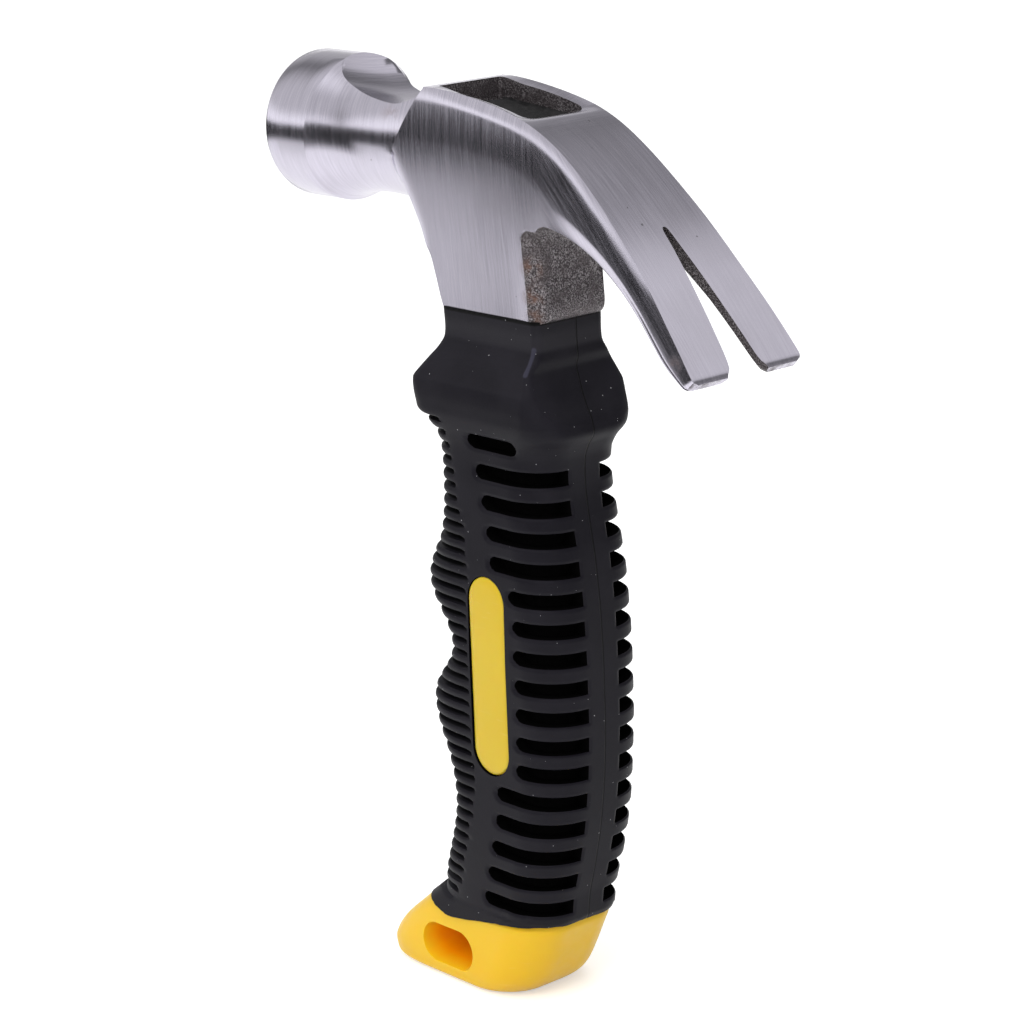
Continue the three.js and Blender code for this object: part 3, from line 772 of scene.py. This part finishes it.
# %% [markdown]
# ## The grip
# A rubber sleeve: a narrow lip under the head, a collar, then a waved body with fine grooves where
# the fingers lie and long slots round the palm side. A bump could draw the grooves, but they notch
# the outline, so they are real: the sleeve is one tube of close rings, sunk where a groove runs.
# The slots have sharp walls, so they are cut afterwards, with tools that follow the sleeve round.

# %% Grip sections: height share, front, back, half width, corner runs and flats
GRIP_LENGTH = 99.3
FRONT, BACK, HALF = 18, 16.4, 11
GRIP_ROWS = ((0, .99, .66, .92, .79, .78, .04, .33), (.043, .92, .7, .964, .76, .76, .04, .31),
             (.084, .825, .77, .99, .74, .73, .04, .3), (.124, .735, .83, 1, .71, .73, .04, .3),
             (.169, .67, .89, 1, .68, .73, .04, .3), (.2145, .7, .933, .99, .7, .73, .04, .3),
             (.255, .79, .963, .982, .73, .75, .04, .3),
             (.295, .915, .982, .982, .77, .75, .04, .3),
             (.33, .975, .994, .982, .78, .74, .04, .3), (.36, .96, 1, .982, .78, .74, .04, .3),
             (.391, .83, 1, .982, .75, .74, .04, .3), (.421, .68, 1, .982, .69, .74, .04, .3),
             (.446, .625, 1, .982, .66, .74, .04, .3), (.471, .685, .997, .977, .69, .75, .04, .31),
             (.4965, .81, .991, .973, .74, .74, .04, .31),
             (.527, .955, .982, .968, .78, .76, .04, .31),
             (.557, .985, .97, .964, .79, .75, .04, .31),
             (.592, .9, .948, .955, .77, .75, .04, .32),
             (.622, .79, .927, .941, .73, .78, .04, .32),
             (.668, .73, .878, .923, .71, .78, .04, .33),
             (.728, .725, .829, .895, .7, .8, .04, .34),
             (.778, .75, .835, .882, .68, .79, .05, .34), (.8, .775, .89, .905, .6, .73, .15, .36),
             (.819, .82, .965, .955, .48, .6, .3, .42), (.834, .875, .95, .985, .33, .5, .45, .5),
             (.846, .885, .915, .99, .3, .42, .5, .56), (.864, .89, .84, .99, .26, .3, .6, .68),
             (.884, .88, .775, .965, .2, .18, .7, .8), (.892, .85, .755, .93, .18, .15, .74, .84),
             (.919, .71, .69, .825, .16, .12, .8, .87), (.935, .645, .71, .73, .15, .16, .8, .85),
             (.954, .6, .7, .66, .15, .2, .8, .8), (1, .6, .695, .66, .15, .2, .8, .8))

# %% Butt sections, in the same columns
BUTT_HEIGHT, BUTT_FRONT, BUTT_HALF = 15.3, 30, 10.2
BUTT_ROWS = ((0, .913, 0, .745, .38, .95, .4, .22), (.04, .975, .07, .93, .39, .85, .4, .26),
             (.133, 1, .19, .98, .4, .82, .4, .3), (.253, .997, .285, 1, .4, .8, .36, .3),
             (.467, .923, .4, 1, .43, .82, .3, .3), (.733, .773, .52, .995, .54, .84, .2, .32),
             (1, .617, .646, .99, .79, .85, .04, .33))


def section(rows, share, front, back, half):
    """The sizes of a section: its reaches, half width, corner runs and flats."""
    f, b, h, fr, br, ff, bf = (curve_at(rows, share, k) for k in range(1, 8))
    front, back, half = front * f, back * b, half * h
    return front, back, half, front * fr, half * br, half * ff, half * bf


# where the front flat, the front corner, the side and the back corner end on half a section
FLAT_END, CORNER_END, SIDE_END, REAR_END = 0.06, 0.4, 0.62, 0.9


def grip_section(share):
    return section(GRIP_ROWS, share, FRONT, BACK, HALF)


def butt_section(share, proud=0):
    return section(BUTT_ROWS, share, BUTT_FRONT + proud, BACK + proud, BUTT_HALF + proud)


def section_point(sizes, share):
    """A place on half a section, from the front's middle (0) to the back's (1)."""
    front, back, half, front_run, back_run, front_flat, back_flat = sizes
    if share < FLAT_END:
        return -front, front_flat * share / FLAT_END
    if share < CORNER_END:
        turn = (share - FLAT_END) / (CORNER_END - FLAT_END) * math.pi / 2
        c, s = math.cos(turn) ** (2 / 3), math.sin(turn) ** (2 / 3)
        return -front + front_run * (1 - c), front_flat + (half - front_flat) * s
    if share < SIDE_END:
        along = (share - CORNER_END) / (SIDE_END - CORNER_END)
        return mix(-front + front_run, back - back_run, along), half
    if share < REAR_END:
        turn = (share - SIDE_END) / (REAR_END - SIDE_END) * math.pi / 2
        y = back_flat + (half - back_flat) * math.cos(turn)
        return back - back_run * (1 - math.sin(turn)), y
    return back, back_flat * (1 - share) / (1 - REAR_END)


# %% What the mould leaves in the sleeve
SLOT_TOP, SLOT_PITCH, SLOT_HALF, SLOT_DEEP, SPINE_HALF = -20.04, 4.785, 1.2, 2.6, 3.3
SLOT_0_END, ROUND_RUN = 8.4, 1.5
# where each slot starts and each groove ends, from the top down
SLOT_FRONTS = (-2.94, -1.5, -0.13, 1, 1.66, 6.02, 6.78, 6.83, 6.95, 7.02, 6.76, 6.5, 1.82, 1.3,
               0.16, -1.12, -2.75)
GROOVE_TOP, GROOVE_PITCH = -17.6, 2.1
GROOVE_ENDS = (-8.8, -8.2, -7.7, -7.3, -6.9, -6.5, -6.1, -5.6, -5.1, -4.7, -4.2, -3.9, -3.8, -4.8,
               -5.1, -5, -4.9, -4.7, -4.5, -4.4, -4.4, -4.4, -4.4, -4.5, -4.7, -4.8, -4.7, -3.7,
               -3.6, -3.9, -4.4, -4.8, -5.4, -5.9, -6.5, -7.2, -7.9, -8.7, -9.7)
LIP_SINK, LIP_WIDTH, GROOVE_DEEP, RIB_ROUND = 0.4, 0.45, 1.2, 0.55


def slot_lip(x, y, z):
    """The softened edge of the long slots, which are cut later."""
    k = round((SLOT_TOP - z) / SLOT_PITCH)
    if not 0 <= k < len(SLOT_FRONTS) or x < SLOT_FRONTS[k] - 1:
        return 0
    rise = abs(z - (SLOT_TOP - SLOT_PITCH * k))
    lead = max(0, SLOT_FRONTS[k] + SLOT_HALF - x)
    if k == 0:
        lead = max(lead, x - SLOT_0_END + SLOT_HALF)
    gap = math.hypot(lead, rise) - SLOT_HALF
    spine = ease(-0.3, 0.3, abs(y) - SPINE_HALF) if x > 5 else 1
    away = min(max(gap, 0) / LIP_WIDTH, 1)
    return LIP_SINK * (1 - math.sqrt(1 - (1 - away) ** 2)) * spine


def groove_depth(x, y, z):
    """The finger grooves, and the round ribs between them; the mould's halves meet at the front."""
    if x > -3:
        return 0, 0
    z += 0.22 * ease(-1.2, -0.6, y) * ease(-12, -13, x)
    j = round((GROOVE_TOP - z) / GROOVE_PITCH)
    if not 0 <= j < len(GROOVE_ENDS) or x > GROOVE_ENDS[j] + 0.3:
        return 0, 0
    rise = abs(z - (GROOVE_TOP - GROOVE_PITCH * j))
    inside = ease(-0.3, 0.1, GROOVE_ENDS[j] - x)
    sunk = 1 - ease(0.2, 0.42, rise)
    away = min(max(rise - 0.25, 0) / 0.75, 1)
    rib = RIB_ROUND * (1 - math.sqrt(1 - (1 - away) ** 2))
    # The second value is the groove's share of painted shade.
    return inside * max(GROOVE_DEEP * sunk, rib), inside * (1 - ease(0.3, 0.5, rise))


def sinking(x, y, z):
    """How deep the sleeve is sunk at a place, and how much painted shade it gets there."""
    groove, dark = groove_depth(x, y, z)
    return max(slot_lip(x, y, z), groove), dark


# %% Sleeve
COLUMNS, ROWS = 200, 421
# share of the section and rise of the three rings that fold in at each end
INNER = ((0.66, 2), (0.8, 0.6), (0.955, 0.1))
FOOT_SHARE, FOOT_PROUD = 0.04, 0.3
# x, and how far the wavy foot hangs over the butt there
FOOT_DROP = ((-18, 2.2), (-14, 2.3), (-10, 2.8), (-7, 3.2), (-4, 3),
             (-1, 2), (3, 1), (9, 0.5), (16, 1.1))
hollows = []


def half_section(column):
    """The side that a column is on, and its share from the back to the front."""
    middle = COLUMNS // 2
    side = 1 if column <= middle else -1
    return side, 1 - (column if side > 0 else COLUMNS - column) / middle


def sleeve_ring(row, column):
    side, share = half_section(column)
    level = min(max((row - 3) / (ROWS - 7), 0), 1)
    sizes = grip_section(level)
    x, y = section_point(sizes, share)
    z = -GRIP_LENGTH * (1 - level)
    if level < FOOT_SHARE:
        wave = 0.35 * noise.noise(Vector((x * 0.16, y * side * 0.16, 3)))
        wave += 0.1 * noise.noise(Vector((x * 0.9, y * side * 0.9, 8)))
        z -= (curve_at(FOOT_DROP, x) + wave) * (1 - level / FOOT_SHARE)
        if z < -GRIP_LENGTH:
            low = (z + LIP_TOP) / BUTT_HEIGHT
            sizes = butt_section(low, FOOT_PROUD)
            x, y = section_point(sizes, share)
    fold = min(row, ROWS - 1 - row)
    if fold < 3:
        size, rise = INNER[fold]
        # The rings folded inside the sleeve get full painted shade.
        hollows.append(1 - 0.3 * fold)
        return x * size, y * size * side, z + (rise if row < 3 else -rise * 0.5)
    near = section_point(sizes, min(1, share + 0.003))
    far = section_point(sizes, max(0, share - 0.003))
    along = Vector((near[0] - far[0], near[1] - far[1])).normalized()
    deep, dark = sinking(x, y * side, z)
    # Each groove's share of painted shade.
    hollows.append(dark)
    return x + along.y * deep, (y - along.x * deep) * side, z


grip = tube("grip_sleeve", COLUMNS, ROWS, sleeve_ring)
# Painted shade for the grooves and the inner rings, read by the rubber.
paint(grip, "hollow_shade", hollows)
print("sleeve:", len(grip.data.polygons), "faces")

# %% Pockets for the inlays
INLAY_X, INLAY_Z, INLAY_LENGTH, INLAY_WIDTH = 0.9, -58.2, 33, 8.4
PILL_COLUMNS, POCKET_GAP = 72, 0.09


def pill_outline(column, radius):
    """A place on the inlay's outline: x and height."""
    turn = math.tau * (column + 0.5) / PILL_COLUMNS
    reach = math.copysign((INLAY_LENGTH - INLAY_WIDTH) / 2, math.sin(turn))
    return INLAY_X + radius * math.cos(turn), INLAY_Z + reach + radius * math.sin(turn)


for side in (-1, 1):
    def pocket_ring(row, column):
        x, z = pill_outline(column, INLAY_WIDTH / 2 + POCKET_GAP)
        return x, side * (9.1, 12)[row], z

    cut_with(grip, tube("pocket_tool", PILL_COLUMNS, 2, pocket_ring), finish=1)

# %% Long slots
def slot_stops(k):
    """Places along a slot, round to the spine: x, y, the way out, height and half height."""
    z = SLOT_TOP - SLOT_PITCH * k
    sizes = grip_section(1 + z / GRIP_LENGTH)
    line = [section_point(sizes, mix(CORNER_END, 1, i / 400)) for i in range(401)]
    line = [(x, y) for x, y in line
            if x >= SLOT_FRONTS[k] and y >= SPINE_HALF and (k or x < SLOT_0_END)]
    reach = [0]
    for a, b in zip(line, line[1:]):
        reach.append(reach[-1] + math.dist(a, b))
    round_end = [ROUND_RUN * (1 - math.cos(i * math.pi / 16)) for i in range(8)]
    far = reach[-1] - ROUND_RUN * (not k)
    stops = round_end + [mix(ROUND_RUN, far, i / 23) for i in range(24)]
    if not k:
        stops += [reach[-1] - end for end in reversed(round_end)]
    places = []
    for stop in stops:
        i = next((j for j, far in enumerate(reach) if far >= stop), len(line) - 1)
        i = min(max(i, 2), len(line) - 2)
        way = (Vector(line[i + 1]) - Vector(line[i - 2])).normalized()
        share = (stop - reach[i - 1]) / (reach[i] - reach[i - 1])
        x, y = (mix(line[i - 1][axis], line[i][axis], share) for axis in (0, 1))
        lead = min(stop, (reach[-1] - stop) if not k else 9)
        height = SLOT_HALF * math.sqrt(max(1 - max(0, 1 - lead / ROUND_RUN) ** 2, 0.002))
        places.append((x, y, -way.y, way.x, z, height))
    return places


cutters = []
for k in range(len(SLOT_FRONTS)):
    places = slot_stops(k)
    for side in (-1, 1):
        def slot_ring(row, column):
            x, y, out_x, out_y, z, height = places[row]
            reach = -SLOT_DEEP if column in (1, 2) else 1
            z += height if column < 2 else -height
            return x + out_x * reach, side * (y + out_y * reach), z

        cutters.append(tube("slot_tool", 4, len(places), slot_ring))
for cutter in cutters:
    cutter.select_set(True)
bpy.ops.object.join()
cut_with(grip, bpy.context.object, finish=1)
smooth(grip, 40)

# %% [markdown]
# ### Black rubber
# Satin black with a faint cloudiness, lint and dust on it, and a thin parting line down the spine.
# The hollows are painted near black, darker than the light alone would make them: painted shade.
# The lip has a painted highlight band under a painted shade line at its top, and the collar's rear
# ridge has a painted highlight. Each mark could be drawn in an image, but nodes keep it sharp at
# any distance.

# %% Marks along a line
def near_line(place, first, last, reach):
    """1 on a line between two places in millimetres, 0 beyond its reach in metres."""
    start, run = at(*first), at(*last) - at(*first)
    away = vector_math("SUBTRACT", place, start)
    share = vector_math("DOT_PRODUCT", away, run / run.length_squared)
    foot = vector_math("MULTIPLY", run, remap(share, 0, 1, kind="LINEAR"))
    gap = vector_math("DISTANCE", away, foot)
    return remap(gap, 0.4 * reach, reach, 1, 0)


# %% Rubber: clouds, painted lip highlight, painted shade in hollows and rim, seam
rubber, tree, shader = new_material("black_rubber")
place = object_place(tree)
axes = parts(place)
hollow_shade = painted(tree, "hollow_shade")
cloud, grain = noise_at(place, 110, 4), noise_at(place, 2600, 2)
BLACK, CLOUDY = (0.0082, 0.0074, 0.011, 1), (0.0125, 0.0114, 0.0158, 1)
colour = tint(remap(cloud, 0.35, 0.7), BLACK, CLOUDY)
# A painted highlight: the lip is lighter in a band a few millimetres below its top.
lip_highlight = times(remap(axes["Z"], 0.1093, 0.1104), remap(axes["Z"], 0.1115, 0.1136, 1, 0.35))
colour = tint(lip_highlight, colour, (0.021, 0.0198, 0.0245, 1))
# Painted shade along the lip's top rim, under the head.
rim_shade = remap(axes["Z"], 0.1139, 0.1142)
# Painted shade: the hollows and the lip's top rim are near black.
colour = tint(calculate("MAXIMUM", hollow_shade, rim_shade), colour, (0.0015, 0.0015, 0.0018, 1))
seam_y = remap(axes["Z"], 0.095, 0.109, 0, 0.0011)
off_seam = calculate("ABSOLUTE", calculate("SUBTRACT", axes["Y"], seam_y))
seam = times(remap(off_seam, 0.00008, 0.00018, 1, 0), remap(axes["X"], 0.004, 0.006))
colour = tint(times(seam, 0.75), colour, grey(0.002))
print("rubber so far:", len(tree.nodes), "nodes")

# %% Rubber: painted ridge highlight, glue and dust
# A painted highlight: a bluish line along the collar's near rear ridge.
ridge_highlight = near_line(place, (10.6, -7.1, -4.4), (10.5, -9.0, -7.9), 0.0006)
colour = tint(times(ridge_highlight, 0.45), colour, (0.06, 0.058, 0.09, 1))
squeezed = near_line(place, (9.9, 2.8, -0.1), (9.9, 5, -0.1), 0.0007)
squeezed = times(squeezed, remap(grain, 0.42, 0.55))
colour = tint(squeezed, colour, (0.22, 0.13, 0.03, 1))
dust = place_group(specks, Place=place, Scale=900, Size=0.1, Share=0.6)["Mask"]
lint = place_group(specks, Place=place, Scale=300, Size=0.04, Share=0.4)["Mask"]
dust = calculate("MAXIMUM", dust, lint)
colour = tint(times(dust, 0.75), colour, (0.5, 0.5, 0.52, 1))
sheen = remap(cloud, 0.3, 0.75, 0.42, 0.56)
sheen = calculate("SUBTRACT", sheen, times(lip_highlight, 0.06))
sheen = calculate("MAXIMUM", sheen, calculate("MAXIMUM", hollow_shade, dust))
relief = calculate("MULTIPLY_ADD", grain, 0.012, times(seam, -0.1))
relief = calculate("MULTIPLY_ADD", dust, 0.04, relief)
join(tree, shader, relief, Base_Color=colour, Roughness=sheen, Specular_IOR_Level=0.12)

# %% Rubber in the slots and pockets: painted shade, near black
# Painted shade: the faces cut for the slots and pockets are near black and matt.
hollow_shade_rubber, tree, shader = new_material("rubber_painted_shade_in_hollows")
matt = noise_at(object_place(tree), 1500, 2)
join(tree, shader, Base_Color=tint(matt, grey(0.001), (0.003, 0.0028, 0.003, 1)),
     Roughness=1, Specular_IOR_Level=0)
dress(grip, [rubber, hollow_shade_rubber], "grip_rubber", "grip")

# %% [markdown]
# ## The butt and the handle's core
# The core is one yellow moulding. Its foot shows below the grip as a butt that reaches forward
# like a toe, with a slot through it for a lanyard. The stem is hidden in the sleeve. A bevelled
# box would be quick, but the real butt swells and tucks in, so it is drawn ring by ring.

# %% Butt and stem
BUTT_RINGS, STEM_RINGS, STEM_SHARE, TUCK = 60, 40, 0.6, 0.09


def butt_ring(row, column):
    side, share = half_section(column)
    if row < 3:
        x, y = section_point(butt_section(0), share)
        shrink = (0.9, 0.96, 0.985)[row]
        return (x + 6) * shrink - 6, y * shrink * side, -LIP_TOP
    if row < BUTT_RINGS:
        level = (row - 3) / (BUTT_RINGS - 4)
        x, y = section_point(butt_section(level), share)
        tuck = 1 - TUCK * ease(0.86, 1, level)
        return x * tuck, y * tuck * side, -LIP_TOP + (BUTT_HEIGHT - 0.05) * level
    z = mix(-GRIP_LENGTH, -7, (row - BUTT_RINGS) / (STEM_RINGS - 1))
    x, y = section_point(grip_section(1 + z / GRIP_LENGTH), share)
    return x * STEM_SHARE, y * STEM_SHARE * side, z


butt = tube("yellow_handle", COLUMNS, BUTT_RINGS + STEM_RINGS, butt_ring)
print("butt and stem:", len(butt.data.polygons), "faces")

# %% Lanyard slot
LACE_X, LACE_Z, LACE_HALF, LACE_ROUND = -12.8, -108.4, 2.8, 3


def lanyard_ring(row, column):
    depth = abs(row - 8) / 8
    flare = 0.6 * ease(0.6, 0.8, depth) ** 2
    turn = math.tau * column / 48
    radius = LACE_ROUND + flare
    x = math.copysign(LACE_HALF, math.cos(turn)) + radius * math.cos(turn)
    return LACE_X + x, mix(-13, 13, row / 16), LACE_Z + radius * math.sin(turn)


cut_with(butt, tube("lanyard_tool", 48, 17, lanyard_ring))
# How much of the painted orange glow each corner in the lanyard slot gets.
slot_glow = []
for corner in butt.data.vertices:
    x, y, z = millimetres(corner.co)
    reach = max(0, abs(x - LACE_X) - LACE_HALF)
    gap = LACE_ROUND + 0.8 - math.hypot(reach, z - LACE_Z)
    slot_glow.append(ease(-0.5, 0.6, gap) * ease(0, 2.2, 9.2 - abs(y)))
paint(butt, "slot_glow", slot_glow)
smooth(butt, 45)

# %% [markdown]
# ### Yellow plastic
# A warm, slightly clear yellow: light enters it and comes out a little way off, so the slot glows
# orange. Subsurface scattering does that, helped by a painted orange glow in the slot's colour.
# Pale scuffs lie faintly over it.

# %% Yellow finishes
def yellow_plastic(name, main, deep, pale, depth):
    """A clear yellow moulding; returns its material, tree, shader and colour so far."""
    material, tree, shader = new_material(name)
    place = object_place(tree)
    cloud, mottle = noise_at(place, 70, 3), noise_at(place, 900, 3)
    colour = tint(remap(cloud, 0.3, 0.7), main, deep)
    scuffs = noise_at(vector_math("MULTIPLY", place, (300, 300, 1500)), 1, 4)
    scuffs = times(remap(scuffs, 0.6, 0.75), remap(cloud, 0.45, 0.6))
    colour = tint(times(scuffs, 0.12), colour, pale)
    join(tree, shader, times(mottle, 0.006), Roughness=remap(mottle, 0.3, 0.7, 0.3, 0.42),
         Specular_IOR_Level=0.3, Subsurface_Weight=0.4, Subsurface_Radius=(1, 0.45, 0.08),
         Subsurface_Scale=depth)
    return material, tree, shader, colour


handle_yellow, tree, shader, colour = yellow_plastic(
    "handle_yellow", (0.82, 0.51, 0.012, 1), (0.8, 0.49, 0.01, 1), (0.9, 0.66, 0.3, 1), 0.004)
# Painted glow: the lanyard slot is coloured orange.
join(tree, shader, Base_Color=tint(painted(tree, "slot_glow"), colour, (0.98, 0.4, 0, 1)))
dress(butt, [handle_yellow], "handle_plastic", "inner_handle")

# %% [markdown]
# ## The side inlays
# A yellow pill is set into each side of the grip, with a thin dark gap round it. An extruded
# outline would have a flat top, and the real one is domed, so it is a tube of closing rings.

# %% Inlays
# how far each ring is drawn in, and its distance from the hammer's middle
INLAY_RISES = ((0, 9), (0, 9.6), (0, 10.25), (0.05, 10.4), (0.16, 10.52), (0.4, 10.62),
               (0.8, 10.69), (1.4, 10.74), (2.2, 10.78), (3.2, 10.8), (3.9, 10.81))
inlay_yellow, tree, shader, colour = yellow_plastic(
    "inlay_yellow", (0.64, 0.455, 0.025, 1), (0.62, 0.43, 0.02, 1), (0.8, 0.7, 0.35, 1), 0.002)
join(tree, shader, Base_Color=colour)
for side, word in ((-1, "left"), (1, "right")):
    def inlay_ring(row, column):
        inset, rise = INLAY_RISES[row]
        x, z = pill_outline(column, INLAY_WIDTH / 2 - inset)
        return x, side * rise, z

    inlay = tube("inlay_" + word, PILL_COLUMNS, len(INLAY_RISES), inlay_ring)
    smooth(inlay, 50)
    dress(inlay, [inlay_yellow], "inlay_plastic", "side_inlay_" + word)

# %% [markdown]
# ## The resin in the eye
# Dark resin holds the head. It was poured into the eye, and its lumpy top lies about 3 mm below the
# crown. A bump on a flat plug looks lumpy only from above, so a noise lifts and sinks the top.

# %% Resin
# height and share of the eye's width for the sides, then shares alone for the top
RESIN_SIDES = ((5.4, 0.7), (5, 1), (12, 1), (20, 1), (28, 1))
RESIN_RINGS = RESIN_SIDES + tuple((31, share / 10) for share in range(10, 0, -1))
RESIN_DEPTH, RESIN_LUMPS, RESIN_COLUMNS = 2.8, 1.3, 96


def resin_ring(row, column):
    height, share = RESIN_RINGS[row]
    x, y = eye_outline(height, column, RESIN_COLUMNS, 0.12)
    x, y = x * share, y * share
    if row >= len(RESIN_SIDES):
        height = curve_at(CROWN, x) - RESIN_DEPTH - 0.3 * share
        lump = noise.fractal(Vector((x * 0.35, y * 0.35, 5)), 0.8, 2, 4)
        height += RESIN_LUMPS * lump * share
    return x, y, height


resin = tube("eye_resin_fill", RESIN_COLUMNS, len(RESIN_RINGS), resin_ring)
smooth(resin, 60)
print("resin:", len(resin.data.polygons), "faces")

# %% Resin finish
resin_dark, tree, shader = new_material("dark_resin")
lumps = noise_at(object_place(tree), 600, 5)
POURED, DUSTY = (0.004, 0.004, 0.0045, 1), (0.018, 0.017, 0.018, 1)
bump = add_node(tree, "Bump", {"Height": lumps, "Strength": 0.8, "Distance": 0.0006}).outputs[0]
join(tree, shader, Base_Color=tint(remap(lumps, 0.35, 0.7), POURED, DUSTY),
     Roughness=remap(lumps, 0.3, 0.7, 0.5, 0.85), Specular_IOR_Level=0.3, Normal=bump)
dress(resin, [resin_dark], "resin", "eye_resin")

# %% [markdown]
# ## The fibreglass rod
# The rod that stiffens the handle is out of sight. It could be modelled again, but its CAD shape is
# right, so it only gets a pale finish with fine strands along it.

# %% Rod finish
fibreglass, tree, shader = new_material("fibreglass")
strands = place_group(grinding_lines, Place=object_place(tree), Stretch=(3000, 3000, 60))["Lines"]
join(tree, shader, Base_Color=tint(strands, (0.55, 0.52, 0.4, 1), (0.75, 0.72, 0.6, 1)),
     Roughness=remap(strands, 0, 1, 0.4, 0.6))
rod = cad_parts["core_rod"]
rod.data.materials.clear()
rod.data.materials.append(fibreglass)
print(rod.name, "finished in", fibreglass.name)
